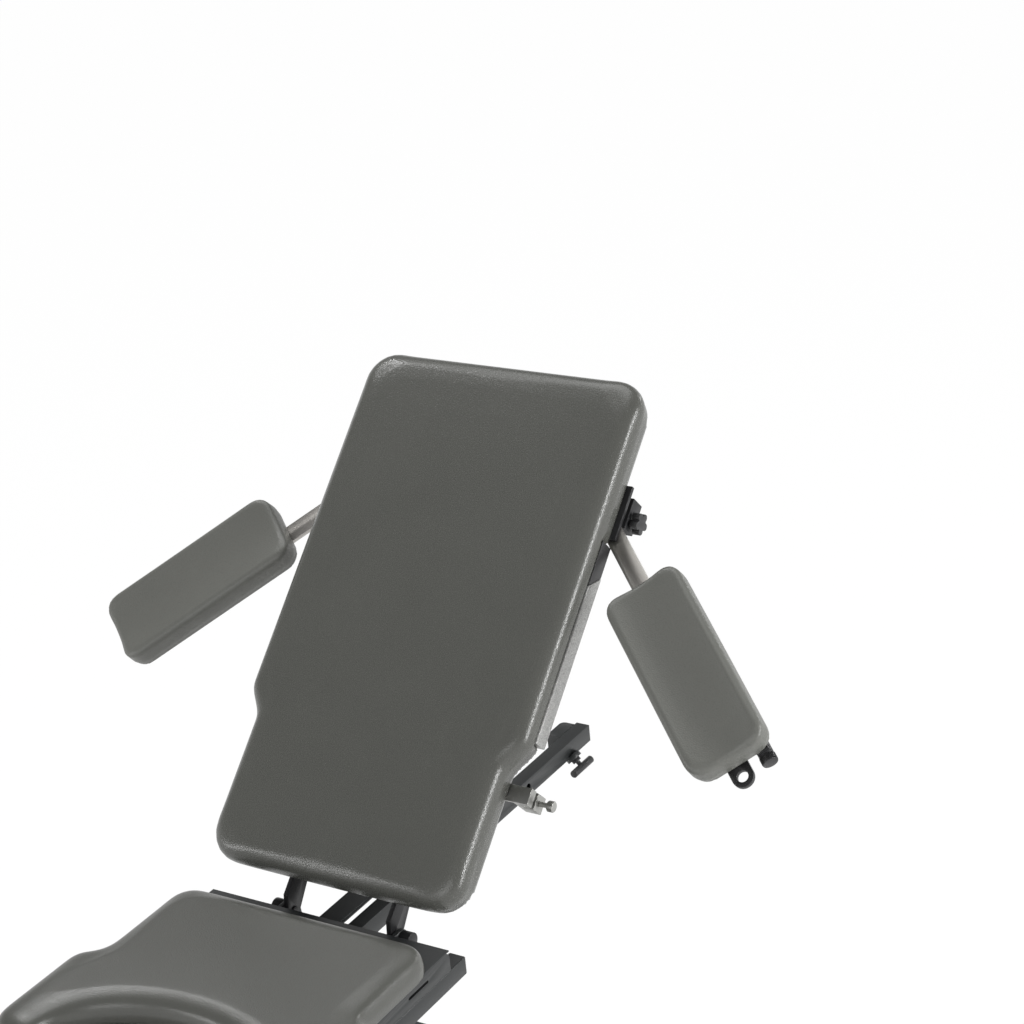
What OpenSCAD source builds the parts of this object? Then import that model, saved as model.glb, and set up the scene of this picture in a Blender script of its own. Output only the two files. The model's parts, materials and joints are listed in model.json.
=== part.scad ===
// Examination chair with reclining backrest, swinging armrests and a lifting, tilting seat.
// Millimetres. X to the chair's right, Y to the rear, Z up from the floor.

/* [Seat] */
// Height of the seat's upper face above the floor, column down
seat_height = 620; // [600:5:680]
// Width of the seat at the rear
seat_rear_w = 460; // [440:5:480]
// Width of the seat at the front
seat_front_w = 532; // [510:2:550]
// Length of the seat cushion
seat_l = 423; // [400:1:440]
// Thickness of the seat cushion
seat_t = 46; // [36:1:60]
// Width of the cut-out at the front
cutout_w = 370; // [340:2:380]
// Depth of the cut-out
cutout_d = 138; // [120:1:145]

/* [Backrest] */
// Angle of the backrest above the horizontal
back_angle = 43.5; // [0:0.5:70]
// Width of the backrest above the shoulders
back_upper_w = 515; // [505:1:530]
// Width of the backrest below the shoulders
back_lower_w = 460; // [440:2:480]
// Length of the backrest
back_l = 875; // [850:5:900]
// Thickness of the backrest with its board
back_t = 67; // [55:1:75]
// Thickness of the board
board_t = 15; // [12:1:18]

/* [Armrests] */
// Angle of the armrests from the backrest's upward direction
arm_angle = 135.6; // [0:0.1:135.6]
// Length of an armrest pad
pad_l = 335; // [300:5:345]
// Width of an armrest pad
pad_w = 132; // [110:2:140]
// Thickness of an armrest pad
pad_t = 46; // [36:1:52]
// Depth of the gutter along a pad
gutter_d = 9; // [0:0.5:12]
// Distance from an armrest's pivot to its pad
pad_start = 188; // [188:1:200]

/* [Seat frame] */
// Outer width of the seat frame
frame_w = 435; // [425:1:445]
// Length of the side rails
rail_l = 465; // [450:5:470]
// Width of a side rail
rail_w = 28.5; // [24:0.5:32]
// Height of rails, cross tubes and beam
rail_h = 30; // [28:1:32]
// Height of the seat pan's side flanges
flange_h = 34; // [30:1:40]
// Length of the rear beam behind the hinge axis
beam_rear = 705; // [650:5:720]
// Width of the rear beam
beam_w = 25; // [24:1:27]

/* [Lift column and base] */
// Width of the outer column stage
column_w = 120; // [110:2:120]
// Depth of the outer column stage
column_d = 110; // [100:2:110]
// Lift of each of the two moving column stages
column_travel = 120; // [100:5:120]
// Length of the base
base_l = 800; // [740:10:860]
// Width of the base
base_w = 560; // [520:10:600]

/* [Hidden] */

$fn = 48;
cut = 0.5;
run_clear = 0.05;
fit_clear = 0.02;
soft_clear = 0.3;
slide_clear = 0.3;

// Colours
upholstery = [0.33, 0.34, 0.32];
pad_cloth = [0.42, 0.42, 0.41];
anthracite = [0.24, 0.25, 0.26];
dark_plastic = [0.11, 0.11, 0.12];
silver = [0.74, 0.74, 0.73];
stainless = [0.72, 0.71, 0.68];
zinc = [0.62, 0.62, 0.60];
plywood = [0.55, 0.43, 0.30];

// Levels and main places of the frame
hinge_y = -100;
rail_top = seat_height - seat_t - flange_h;
rail_bottom = rail_top - rail_h;
hinge_rise = 5;
hinge_z = rail_top + hinge_rise;
pan_top = rail_top + flange_h;
frame_half = frame_w / 2;
rail_in = frame_half - rail_w;
tube_wall = 2.5;
rail_rear_gap = 5;
rail_rear_y = hinge_y + rail_rear_gap;
rail_front_y = rail_rear_y - rail_l;

// Hinge of the backrest, in the backrest's own directions
hinge_below = 38;
hinge_behind = 33;
hinge_pin_r = 8;
ear_r = 15;
lug_x = 91;
lug_t = 8;
ear_gap = 2;
ear_x = lug_x + lug_t + ear_gap;
ear_t = 8;
boss_r = 14;
boss_l = 18;

// Lever on the left lug that the back gas spring works on
lever_drop = 60;
lever_mid = 35;
lever_half_w = 15;
lever_play = 1.7;
lever_end = 74;
rod_travel_share = 1.11;
fork_pin_r = 6;
fork_gap = 2;
fork_cheek_t = 5;
fork_half_h = 12;
fork_depth = 30;
fork_root = 10;
back_rod_r = 5;
cylinder_r = 14;
cylinder_l = 220;
cylinder_gap = 85;
cylinder_wall = 3;
gland_l = 10;
piston_back = 115;
lever_x = lug_x + lug_t / 2;
lever_z = hinge_z - lever_drop;
fork_pin_y = hinge_y + lever_drop * rod_travel_share * (back_angle - lever_mid) * PI / 180;
cylinder_rear = hinge_y - cylinder_gap;
cylinder_front = cylinder_rear - cylinder_l;

// Cross tubes
cross_rear_w = 50;
cross_rear_gap = 55;
cross_rear_y = hinge_y - cross_rear_gap;
cross_rear_front = cross_rear_y - cross_rear_w;
cross_front_w = 30;
cross_front_y = -455;
cross_front_rear = cross_front_y + cross_front_w;

// Tilt hinge above the column
tilt_y = cross_rear_y - cross_rear_w / 2;
tilt_drop = 55;
tilt_z = rail_bottom - tilt_drop;
tilt_ear_r = 18;
tilt_pin_r = 10;
tilt_ear_x = 56;
tilt_ear_t = 8;
head_ear_x = 44;
head_ear_t = 10;
head_gap = 23;
head_t = 8;
head_top = tilt_z - head_gap;
head_bottom = head_top - head_t;
pin_head_r = 15;
pin_head_t = 5;

// Tilt gas spring, from the head's arm to the front cross tube
strut_low_y = -285;
strut_low_drop = 87;
strut_low_z = head_top - strut_low_drop;
strut_high_drop = 18;
strut_high_y = cross_front_y + cross_front_w / 2;
strut_high_z = rail_bottom - strut_high_drop;
strut_len = norm([strut_high_y - strut_low_y, strut_high_z - strut_low_z]);
strut_angle = atan2(strut_high_z - strut_low_z, strut_high_y - strut_low_y);
strut_r = 11;
strut_wall = 2.5;
strut_rod_r = 4.5;
strut_tube_start = 38;
strut_tube_end = 170;
strut_rod_start = 100;
strut_eye_half = 6;
strut_eye_r = 11;
strut_pin_r = 6;
strut_open_play = 1.9;
strut_open_r = 13;
strut_cheek_gap = 1;
strut_cheek_t = 6;
arm_front_t = 12;
arm_half_w = 19;

// Column stages
stage_wall = 4;
stage_gap = 4;
flange_t = 10;
spine_w = 80;
spine_h = 40;
foot_h = 25;
spine_top = foot_h + spine_h;
flange_top = spine_top + flange_t;
stage_short = 30;
stage_l = head_bottom - flange_top - stage_short;
outer_top = flange_top + stage_l;
collar_h = 12;
collar_lip = 6;
collar_clear = 0.3;
stage_step = 2 * stage_wall + 2 * stage_gap;
middle_w = column_w - stage_step;
middle_d = column_d - stage_step;
inner_w = middle_w - stage_step;
inner_d = middle_d - stage_step;
middle_low = flange_top + collar_h / 2;
middle_top = outer_top + collar_lip + collar_h / 2;
column_y = tilt_y;
corner_r = 8;
ram_r = 12;
ram_tube_r = 22;
ram_foot = 16;

// Base
cross_foot_w = 60;
foot_pad_r = 20;
foot_pad_t = 10;
foot_stud_r = 6;
cap_t = 6;
flange_w = 190;
flange_d = 190;
bolt_head_r = 9;
bolt_head_t = 6;
bolt_inset = 16;
base_front_y = -500;
base_rear_y = base_front_y + base_l;

// Pump block and pedal
pump_w = 70;
pump_d = 60;
pump_h = 62;
pump_gap = 6;
pedal_pin_r = 5;
pedal_rise = 40;
pedal_bar_w = 22;
pedal_bar_t = 10;
pedal_reach = 250;
pedal_pad_l = 80;
pedal_pad_w = 60;
pedal_pad_t = 12;
pedal_side_clear = 1;
pedal_z = spine_top + pump_h - pedal_rise / 2;
pedal_y = column_y + flange_d / 2 + pump_gap + pump_d / 2;
pedal_x = pump_w / 4;

// Rear beam, its socket clamp and the bars beside it
beam_x = 3;
beam_hole_r = 7;
beam_hole_y = 499;
beam_cap_t = 3;
bar_x = -52;
bar_w = 40;
bar_t = 8;
bar_l = 310;
stop_w = 27;
stop_l = 52;
stop_r = 10;
stop_front = 648;
tee_y = 644;
tee_boss_r = 14;
tee_boss_t = 6;
tee_stem_r = 4;
tee_out = 24;
tee_bar_l = 58;
tee_bar_r = 6.5;
tee_collar_r = 8;
tee_in = 3;

// Seat cushion outline
seat_gap = 82;
seat_rear_y = hinge_y - seat_gap;
seat_front_y = seat_rear_y - seat_l;
seat_rear_r = 45;
seat_front_r = 40;
horn_r = 26;
horn_step = 1;
bend_start = 177;
bend_l = 60;
seat_edge_r = 22;
seat_crown = 2;
seat_draw = 3;
pan_t = 2;
pan_rear_gap = 35;
pan_rear_y = hinge_y - pan_rear_gap;
pan_front_gap = 12;
pan_front_y = seat_front_y + pan_front_gap;
pan_cut_margin = 8;
slot_l = 52;
slot_h = 5;
slot_gap = 58;
slot_drop = 15;
pan_corner_r = 14;

// Backrest cushion outline
back_corner_r = 52;
shoulder_start = 222;
shoulder_l = 59;
back_edge_r = 24;
back_crown = 3;
back_draw = 4;
strip_w = 10;
strip_h = 30;
strip_start = 282;
strip_l = 281;
strip_slant = 24;
block_l = 50;
notch_step = 1;
ledge_step = 0.6;
strip_x = (back_upper_w / 2 - strip_w) * (1 - back_draw / (back_upper_w / 2));
notch_end = strip_start + strip_l + block_l + 2 * notch_step;

// Backrest frame
back_rail_w = 20;
back_rail_h = 25;
back_rail_x = lug_x - back_rail_w;
back_rail_start = 12;
back_rail_end = 704;
low_cross_s = 60;
low_cross_w = 30;
high_cross_s = 672;
high_cross_w = 30;
lug_top = 110;
lug_root_h = 22;

// Armrest brackets
arm_inset = 57.5;
arm_x = back_upper_w / 2 - arm_inset;
arm_s = 690;
bracket_reach = 60;
bracket_in = arm_x - bracket_reach;
bracket_throat = 25;
bracket_web = arm_x - bracket_throat;
bracket_over = 0.5;
bracket_out = back_upper_w / 2 + bracket_over;
bracket_low_s = 629;
bracket_high_s = 720;
plate_t = 7;
arm_bar_w = 30;
arm_bar_t = 8;
bar_gap = 1;
block_half = 34;
block_t = 31;
arm_pivot_r = 8;
arm_pivot_head_r = 13;
arm_pivot_head_t = 4;
bar_tail = 15;
bar_short = 18;
bar_under_pad = pad_l - bar_short;
bar_top = -plate_t - bar_gap;
bar_low = bar_top - arm_bar_t;
pad_corner_r = 28;
pad_edge_r = 10;
pad_board_t = 10;
pad_draw = 2;
pad_shift = 3.5;
knob_r = 18;
knob_t = 13;
knob_below = 3;
knob_s = 674;
knob_stem_r = 5;
knob_out = 4;
knob_stem_in = 26;
lobe_count = 5;
lobe_share = 0.34;
block_top = -plate_t - 2 * bar_gap - arm_bar_t;
knob_n = block_top - block_t / 2 - knob_below;

// Strap loop and end knob under the right armrest's outer end
loop_r = 17;
loop_hole_r = 9;
loop_out = 27;
loop_t = 8;
loop_base_l = 30;
end_block_gap = 3;
end_knob_across = 44;
end_knob_r = 12;
end_knob_l = 22;
end_block_l = 26;
end_block_w = 20;
end_block_h = 18;

// Clamp on the backrest's lower right side
clamp_s = 209;
clamp_half = 13;
clamp_gap = 2;
clamp_w = 26;
clamp_in = back_lower_w / 2 + clamp_gap;
clamp_out = clamp_in + clamp_w;
clamp_low = -50;
clamp_slot = 7;
clamp_slot_n = -20;
clamp_arm_in = 150;
clamp_arm_t = 6;
clamp_wall = 9;
clamp_screw_r = 4;
clamp_screw_out = 16;
clamp_knob_r = 8;
clamp_knob_l = 10;

// Clamps for leg supports
leg_clamp_y = -515;
leg_clamp_half = 20;
leg_clamp_out = 300;
leg_clamp_h = 45;
leg_clamp_rise = 5;
leg_clamp_top = rail_top + leg_clamp_rise;
leg_bore_x = 280;
leg_bore_r = 9;
leg_screw_r = 5;
leg_screw_drop = 22;
leg_knob_gap = 14;
leg_knob_turn = 18;

// Drain bowl
bowl_half = 184;
rim_t = 2.5;
rim_drop = 8;
bowl_rear_y = -460;
bowl_gap = 4;
bowl_front_y = seat_front_y + bowl_gap;
rim_z = rail_bottom - rim_drop;
basin_half = 155;
basin_inset = 10;
basin_depth = 62;
basin_wall = 1.5;
basin_r = 30;
runner_w = 14;
runner_h = 12;
runner_bite = 11;

// Release levers
release_y = -330;
release_x = 203;
release_cheek_t = 6;
release_half = 6;
release_pin_r = 4;
release_drop = 10;
release_block_h = 22;
release_reach = 92;
release_bar_r = 4.5;
grip_r = 8;
grip_l = 46;
release_w = 20;
hub_r = 8.5;
release_z = rail_bottom - release_drop;

// Points on an arc
function arc(cx, cy, r, from, to, steps) =
    [for (i = [0:steps]) let (a = from + (to - from) * i / steps) [cx + r * cos(a), cy + r * sin(a)]];

// Points with their mirror images, counterclockwise from a right half that starts at the front
function with_mirror(pts) =
    concat(pts, [for (i = [len(pts) - 1:-1:0]) [-pts[i].x, pts[i].y]]);

function at_height(pts, z) = [for (p = pts) [p.x, p.y, z]];
function flat(lists) = [for (l = lists) for (p = l) p];

// Triangles over an outline of n points, from rungs between each point and its mirror image
function oval_cap(n) = [for (i = [0:n / 2 - 2])
    for (t = [[i, i + 1, n - 2 - i], [i, n - 2 - i, n - 1 - i]]) t];

// The same for a horseshoe or a gutter, with rungs that stay inside each half
function halves_cap(n) = let (
        h = n / 2,
        right = [for (i = [0:h / 2 - 2]) for (t = [[i, i + 1, h - 2 - i], [i, h - 2 - i, h - 1 - i]]) t],
        left = [for (t = right) [n - 1 - t[0], n - 1 - t[2], n - 1 - t[1]]])
    concat(right, left, [[n - 1, 0, h - 1], [n - 1, h - 1, h]]);

// A closed solid through rings of equally many points, with the given end triangles
module loft(rings, low_cap) {
    n = len(rings[0]);
    top = (len(rings) - 1) * n;
    sides = [for (k = [0:len(rings) - 2]) for (i = [0:n - 1])
        let (a = k * n + i, b = k * n + (i + 1) % n) for (t = [[a, a + n, b + n], [a, b + n, b]]) t];
    high_cap = [for (t = low_cap) [t[2] + top, t[1] + top, t[0] + top]];
    polyhedron(flat(rings), concat(sides, low_cap, high_cap), convexity = 6);
}

// A box between two corners
module span(low, high) {
    translate(low) cube(high - low);
}

// A rod along X, Y or Z that starts at a point
module rod_x(at, r, l) {
    translate(at) rotate([0, 90, 0]) cylinder(r = r, h = l);
}

module rod_y(at, r, l) {
    translate(at) rotate([-90, 0, 0]) cylinder(r = r, h = l);
}

module rod_z(at, r, l) {
    translate(at) cylinder(r = r, h = l);
}

// An outline in the YZ plane, extruded along X from x
module plate_x(x, t) {
    translate([x, 0, 0]) rotate([90, 0, 90]) linear_extrude(t) children();
}

module both_sides() {
    children();
    mirror([1, 0, 0]) children();
}

module rounded_rect(w, d, r) {
    union() {
        square([w - 2 * r, d], center = true);
        square([w, d - 2 * r], center = true);
        for (x = [-1, 1], y = [-1, 1]) translate([x * (w / 2 - r), y * (d / 2 - r)]) circle(r);
    }
}

// A star knob whose back face is at the origin, on the Z axis
module star_knob(r, t) {
    lobe_r = r * lobe_share;
    core_r = r - lobe_r;
    linear_extrude(t) union() {
        circle(r = core_r);
        for (i = [0:lobe_count - 1]) rotate(360 * i / lobe_count) translate([core_r, 0]) circle(r = lobe_r);
    }
}

// Base
module base_spine() {
    color(anthracite) difference() {
        span([-spine_w / 2, base_front_y + cross_foot_w, foot_h],
            [spine_w / 2, base_rear_y - cross_foot_w, spine_top]);
        span([-spine_w / 2 + tube_wall, base_front_y + cross_foot_w - cut, foot_h + tube_wall],
            [spine_w / 2 - tube_wall, base_rear_y - cross_foot_w + cut, spine_top - tube_wall]);
    }
}

module cross_feet() {
    color(anthracite) for (y = [base_front_y, base_rear_y - cross_foot_w])
        span([-base_w / 2 + cap_t, y, foot_h], [base_w / 2 - cap_t, y + cross_foot_w, spine_top]);
}

module foot_caps() {
    color(dark_plastic) both_sides() for (y = [base_front_y, base_rear_y - cross_foot_w])
        translate([base_w / 2 - cap_t, y + cross_foot_w / 2, (foot_h + spine_top) / 2]) rotate([90, 0, 90])
            linear_extrude(cap_t) rounded_rect(cross_foot_w, spine_h, corner_r / 2);
}

module levelling_feet() {
    foot_x = base_w / 2 - foot_pad_r - cap_t - foot_pad_t;
    color(dark_plastic) both_sides()
        for (y = [base_front_y + cross_foot_w / 2, base_rear_y - cross_foot_w / 2]) {
        union() {
            rod_z([foot_x, y, 0], foot_pad_r, foot_pad_t);
            rod_z([foot_x, y, 0], foot_stud_r, foot_h);
        }
    }
}

module column_flange() {
    bolt_x = flange_w / 2 - bolt_inset;
    bolt_y = flange_d / 2 - bolt_inset;
    rib_w = (flange_w - spine_w) / 2;
    color(anthracite) translate([0, column_y, 0]) union() {
        translate([0, 0, spine_top]) linear_extrude(flange_t) rounded_rect(flange_w, flange_d, corner_r);
        both_sides() for (y = [-1, 1])
            span([spine_w / 2, y * bolt_y / 2 - flange_t / 2, foot_h + flange_t],
                [spine_w / 2 + rib_w / 2, y * bolt_y / 2 + flange_t / 2, spine_top + flange_t / 2]);
        for (x = [-1, 1], y = [-1, 1]) translate([x * bolt_x, y * bolt_y, flange_top - flange_t / 2])
            cylinder(r = bolt_head_r, h = bolt_head_t + flange_t / 2, $fn = 6);
    }
}

// A square tube stage of the column, with an open bore
module stage(w, d, low, high) {
    translate([0, column_y, low]) difference() {
        linear_extrude(high - low) rounded_rect(w, d, corner_r);
        translate([0, 0, -cut]) linear_extrude(high - low + 2 * cut)
            rounded_rect(w - 2 * stage_wall, d - 2 * stage_wall, corner_r / 2);
    }
}

// A guide collar between a stage of the given size and the one that slides in it
module collar(w, d, z) {
    inner_w = w - 2 * stage_wall - 2 * stage_gap + 2 * collar_clear;
    inner_d = d - 2 * stage_wall - 2 * stage_gap + 2 * collar_clear;
    translate([0, column_y, z]) difference() {
        union() {
            linear_extrude(collar_lip) rounded_rect(w, d, corner_r);
            translate([0, 0, -collar_h]) linear_extrude(collar_h)
                rounded_rect(w - 2 * stage_wall - 2 * fit_clear, d - 2 * stage_wall - 2 * fit_clear,
                    corner_r / 2);
        }
        translate([0, 0, -collar_h - cut]) linear_extrude(collar_h + collar_lip + 2 * cut)
            rounded_rect(inner_w, inner_d, corner_r);
    }
}

module column_outer() {
    color(anthracite) stage(column_w, column_d, flange_top, outer_top);
}

module collar_outer() {
    color(dark_plastic) collar(column_w, column_d, outer_top);
}

module column_middle() {
    color(silver) stage(middle_w, middle_d, middle_low, middle_top);
}

module collar_middle() {
    color(dark_plastic) collar(middle_w, middle_d, middle_top);
}

module column_inner() {
    color(silver) stage(inner_w, inner_d, middle_low + collar_h / 2, head_bottom);
}

module lift_cylinder() {
    top = flange_top + stage_l - ram_foot;
    color(zinc) translate([0, column_y, flange_top]) difference() {
        cylinder(r = ram_tube_r, h = top - flange_top);
        translate([0, 0, flange_t]) cylinder(r = ram_r + run_clear, h = top);
    }
}

module lift_ram() {
    color(stainless) rod_z([0, column_y, flange_top + ram_foot], ram_r,
        head_bottom - flange_top - ram_foot);
}

module pump_block() {
    front = column_y + flange_d / 2 + pump_gap;
    slot_half = pedal_bar_w / 2 + pedal_side_clear;
    mid = front + pump_d / 2;
    color(anthracite) union() {
        difference() {
            span([-pump_w / 2, front, spine_top], [pump_w / 2, front + pump_d, spine_top + pump_h]);
            span([0, mid - slot_half, spine_top + pump_h - pedal_rise],
                [pump_w / 2 + cut, mid + slot_half, spine_top + pump_h + cut]);
        }
        rod_y([pump_w / 4, mid - slot_half - cut, pedal_z], pedal_pin_r, 2 * slot_half + 2 * cut);
    }
}

module pedal_lever() {
    color(anthracite) difference() {
        union() {
            rod_y([pedal_x, pedal_y - pedal_bar_w / 2, pedal_z], pedal_bar_t, pedal_bar_w);
            span([pedal_x, pedal_y - pedal_bar_w / 2, pedal_z - pedal_bar_t / 2],
                [pedal_x + pedal_reach, pedal_y + pedal_bar_w / 2, pedal_z + pedal_bar_t / 2]);
        }
        rod_y([pedal_x, pedal_y - pedal_bar_w, pedal_z], pedal_pin_r + run_clear, 2 * pedal_bar_w);
    }
}

module pedal_pad() {
    color(dark_plastic) translate([pedal_x + pedal_reach - pedal_pad_l / 2, pedal_y,
        pedal_z + pedal_bar_t / 2])
        linear_extrude(pedal_pad_t) rounded_rect(pedal_pad_l, pedal_pad_w, corner_r);
}

// Tilt head on the inner stage, with the arm that carries the tilt gas spring
module tilt_head() {
    front = strut_low_y - arm_front_t;
    head_mid = (head_top + head_bottom) / 2;
    cheek_in = strut_eye_half + strut_cheek_gap;
    color(anthracite) difference() {
        union() {
            translate([0, column_y, head_bottom]) linear_extrude(head_t)
                rounded_rect(middle_w, column_d, corner_r);
            both_sides() plate_x(head_ear_x, head_ear_t) union() {
                translate([tilt_y, tilt_z]) circle(tilt_ear_r);
                translate([tilt_y - tilt_ear_r, head_mid]) square([2 * tilt_ear_r, tilt_z - head_mid]);
            }
            span([-arm_half_w, front, head_bottom], [arm_half_w, column_y - column_d / 2 + cut, head_top]);
            both_sides() plate_x(cheek_in, arm_half_w - cheek_in) union() {
                translate([strut_low_y, strut_low_z]) circle(arm_front_t);
                translate([strut_low_y - arm_front_t, strut_low_z])
                    square([2 * arm_front_t, head_mid - strut_low_z]);
            }
            rod_x([-arm_half_w, strut_low_y, strut_low_z], strut_pin_r, 2 * arm_half_w);
        }
        rod_x([-column_w, tilt_y, tilt_z], tilt_pin_r + run_clear, 2 * column_w);
    }
}

// The strut's own frame: Y runs from its lower pivot to its upper one
module strut_place() {
    translate([0, strut_low_y, strut_low_z]) rotate([strut_angle, 0, 0]) children();
}

module tilt_cylinder() {
    color(dark_plastic) strut_place() difference() {
        union() {
            rod_x([-strut_eye_half, 0, 0], strut_eye_r, 2 * strut_eye_half);
            span([-strut_eye_half, 0, -strut_eye_half],
                [strut_eye_half, strut_tube_start + cut, strut_eye_half]);
            rod_y([0, strut_tube_start, 0], strut_r, strut_tube_end - strut_tube_start);
        }
        rod_x([-2 * strut_eye_half, 0, 0], strut_pin_r + run_clear, 4 * strut_eye_half);
        rod_y([0, strut_tube_start + gland_l, 0], strut_r - strut_wall,
            strut_tube_end - strut_tube_start - 2 * gland_l);
        rod_y([0, strut_tube_end - 2 * gland_l, 0], strut_rod_r + run_clear, 3 * gland_l);
    }
}

module tilt_rod() {
    color(stainless) strut_place() difference() {
        union() {
            rod_y([0, strut_rod_start, 0], strut_rod_r, strut_len - strut_rod_start - strut_open_r + cut);
            rod_x([-strut_eye_half, strut_len, 0], strut_open_r, 2 * strut_eye_half);
        }
        rod_x([-2 * strut_eye_half, strut_len, 0], strut_pin_r + strut_open_play, 4 * strut_eye_half);
    }
}

// Seat frame
module seat_rails() {
    color(anthracite) both_sides() difference() {
        span([rail_in, rail_front_y, rail_bottom], [frame_half, rail_rear_y, rail_top]);
        span([rail_in + tube_wall, rail_front_y + tube_wall, rail_bottom + tube_wall],
            [frame_half - tube_wall, rail_rear_y - tube_wall, rail_top - tube_wall]);
    }
}

module cross_rear() {
    color(anthracite) span([-rail_in, cross_rear_front, rail_bottom], [rail_in, cross_rear_y, rail_top]);
}

module cross_front() {
    cheek_in = strut_eye_half + strut_cheek_gap;
    color(anthracite) union() {
        span([-rail_in, cross_front_y, rail_bottom], [rail_in, cross_front_rear, rail_top]);
        both_sides() plate_x(cheek_in, strut_cheek_t) union() {
            translate([strut_high_y, strut_high_z]) circle(arm_front_t);
            translate([strut_high_y - arm_front_t, strut_high_z])
                square([2 * arm_front_t, rail_bottom + rail_h / 2 - strut_high_z]);
        }
        rod_x([-cheek_in - strut_cheek_t, strut_high_y, strut_high_z], strut_pin_r,
            2 * (cheek_in + strut_cheek_t));
    }
}

module rear_beam() {
    beam_end = hinge_y + beam_rear;
    screw_at = [beam_x + beam_w, hinge_y + tee_y, rail_bottom];
    color(anthracite) difference() {
        union() {
            span([beam_x, cross_rear_y, rail_bottom], [beam_x + beam_w, beam_end, rail_top]);
            translate(screw_at) rotate([0, 135, 0]) translate([0, 0, -tee_boss_t / 2])
                cylinder(r = tee_boss_r, h = 1.5 * tee_boss_t);
        }
        span([beam_x + tube_wall, cross_rear_y + beam_cap_t, rail_bottom + tube_wall],
            [beam_x + beam_w - tube_wall, beam_end + cut, rail_top - tube_wall]);
        translate(screw_at) rotate([0, 135, 0]) translate([0, 0, -2 * tee_boss_t])
            cylinder(r = tee_stem_r + run_clear, h = 4 * tee_boss_t);
        rod_x([beam_x - cut, beam_hole_y + hinge_y, rail_bottom + rail_h / 2], beam_hole_r,
            beam_w + 2 * cut);
    }
}

module tee_screw() {
    color(dark_plastic) translate([beam_x + beam_w, hinge_y + tee_y, rail_bottom]) rotate([0, 135, 0])
        union() {
        translate([0, 0, -tee_in]) cylinder(r = tee_stem_r, h = tee_in + tee_out);
        translate([0, 0, tee_boss_t + run_clear]) cylinder(r = tee_collar_r, h = tee_boss_t);
        translate([0, -tee_bar_l / 2, tee_out]) rotate([-90, 0, 0]) cylinder(r = tee_bar_r, h = tee_bar_l);
    }
}

module carrier_bar() {
    color(anthracite) span([bar_x, cross_rear_y, rail_top - bar_t],
        [bar_x + bar_w, cross_rear_y + bar_l, rail_top]);
}

module beam_stop() {
    color(anthracite) translate([beam_x - stop_w, hinge_y + stop_front, rail_bottom])
        linear_extrude(rail_h) union() {
        square([stop_w, stop_l - stop_r]);
        translate([stop_r, 0]) square([stop_w - stop_r, stop_l]);
        translate([stop_r, stop_l - stop_r]) circle(stop_r);
    }
}

module frame_ears() {
    root_l = cross_rear_gap;
    color(anthracite) both_sides() {
        difference() {
            plate_x(ear_x, ear_t) union() {
                translate([hinge_y, hinge_z]) circle(ear_r);
                translate([hinge_y - root_l, rail_bottom + ear_gap])
                    square([root_l, hinge_z + ear_r - rail_bottom - ear_gap]);
            }
            rod_x([ear_x - ear_t, hinge_y, hinge_z], hinge_pin_r + fit_clear, 3 * ear_t);
        }
        difference() {
            plate_x(tilt_ear_x, tilt_ear_t) union() {
                translate([tilt_y, tilt_z]) circle(tilt_ear_r);
                translate([tilt_y - tilt_ear_r, tilt_z]) square([2 * tilt_ear_r, rail_bottom - tilt_z]);
            }
            rod_x([tilt_ear_x - tilt_ear_t, tilt_y, tilt_z], tilt_pin_r + fit_clear, 3 * tilt_ear_t);
        }
    }
}

module tilt_pin() {
    half = tilt_ear_x + tilt_ear_t + fit_clear;
    color(stainless) union() {
        rod_x([-half, tilt_y, tilt_z], tilt_pin_r, 2 * half);
        both_sides() rod_x([half, tilt_y, tilt_z], pin_head_r, pin_head_t);
    }
}

module hinge_pins() {
    start = lug_x - ear_gap;
    color(dark_plastic) both_sides() union() {
        rod_x([start, hinge_y, hinge_z], hinge_pin_r, ear_x + ear_t - start + boss_l);
        rod_x([ear_x + ear_t + fit_clear, hinge_y, hinge_z], boss_r, boss_l);
    }
}

// Seat
function seat_half(d) = let (
        rear_half = seat_rear_w / 2,
        front_half = seat_front_w / 2,
        cut_half = cutout_w / 2,
        cut_y = seat_front_y + horn_r,
        rise = (front_half - rear_half) / 2,
        turn = 2 * atan(rise / (bend_l / 2)),
        bend_r = bend_l / 2 / sin(turn),
        bend_rear = seat_rear_y - bend_start)
    concat(
        [for (i = [0:13]) let (a = 86 * (1 - i / 13))
            [(cut_half + d) * cos(a), cut_y + (cutout_d - horn_r + d) * sin(a)]],
        [for (i = [1:5]) let (a = 180 + 90 * i / 5)
            [cut_half + horn_r + (horn_r - d) * cos(a), cut_y + (horn_r - d) * sin(a)]],
        arc(front_half - seat_front_r, seat_front_y + seat_front_r, seat_front_r - d, 270, 360, 5),
        arc(front_half - bend_r, bend_rear - bend_l, bend_r - d, 0, turn, 3),
        [for (i = [1:3]) let (a = 180 + turn * (1 - i / 3))
            [rear_half + bend_r + (bend_r + d) * cos(a), bend_rear + (bend_r + d) * sin(a)]],
        arc(rear_half - seat_rear_r, seat_rear_y - seat_rear_r, seat_rear_r - d, 0, 90, 5));

module seat_cushion() {
    low = pan_top + soft_clear;
    high = pan_top + seat_t;
    round_z = high - seat_crown - seat_edge_r;
    rings = concat(
        [[seat_draw, low], [seat_draw / 2, (low + round_z) / 2]],
        [for (i = [0:4]) let (a = 90 * i / 5)
            [seat_edge_r * (1 - cos(a)), round_z + seat_edge_r * sin(a)]],
        [[seat_edge_r, high - seat_crown], [horn_r - horn_step, high - seat_crown / 2]]);
    outlines = [for (r = rings) at_height(with_mirror(seat_half(r[0])), r[1])];
    color(upholstery) loft(outlines, halves_cap(len(outlines[0])));
}

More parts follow.
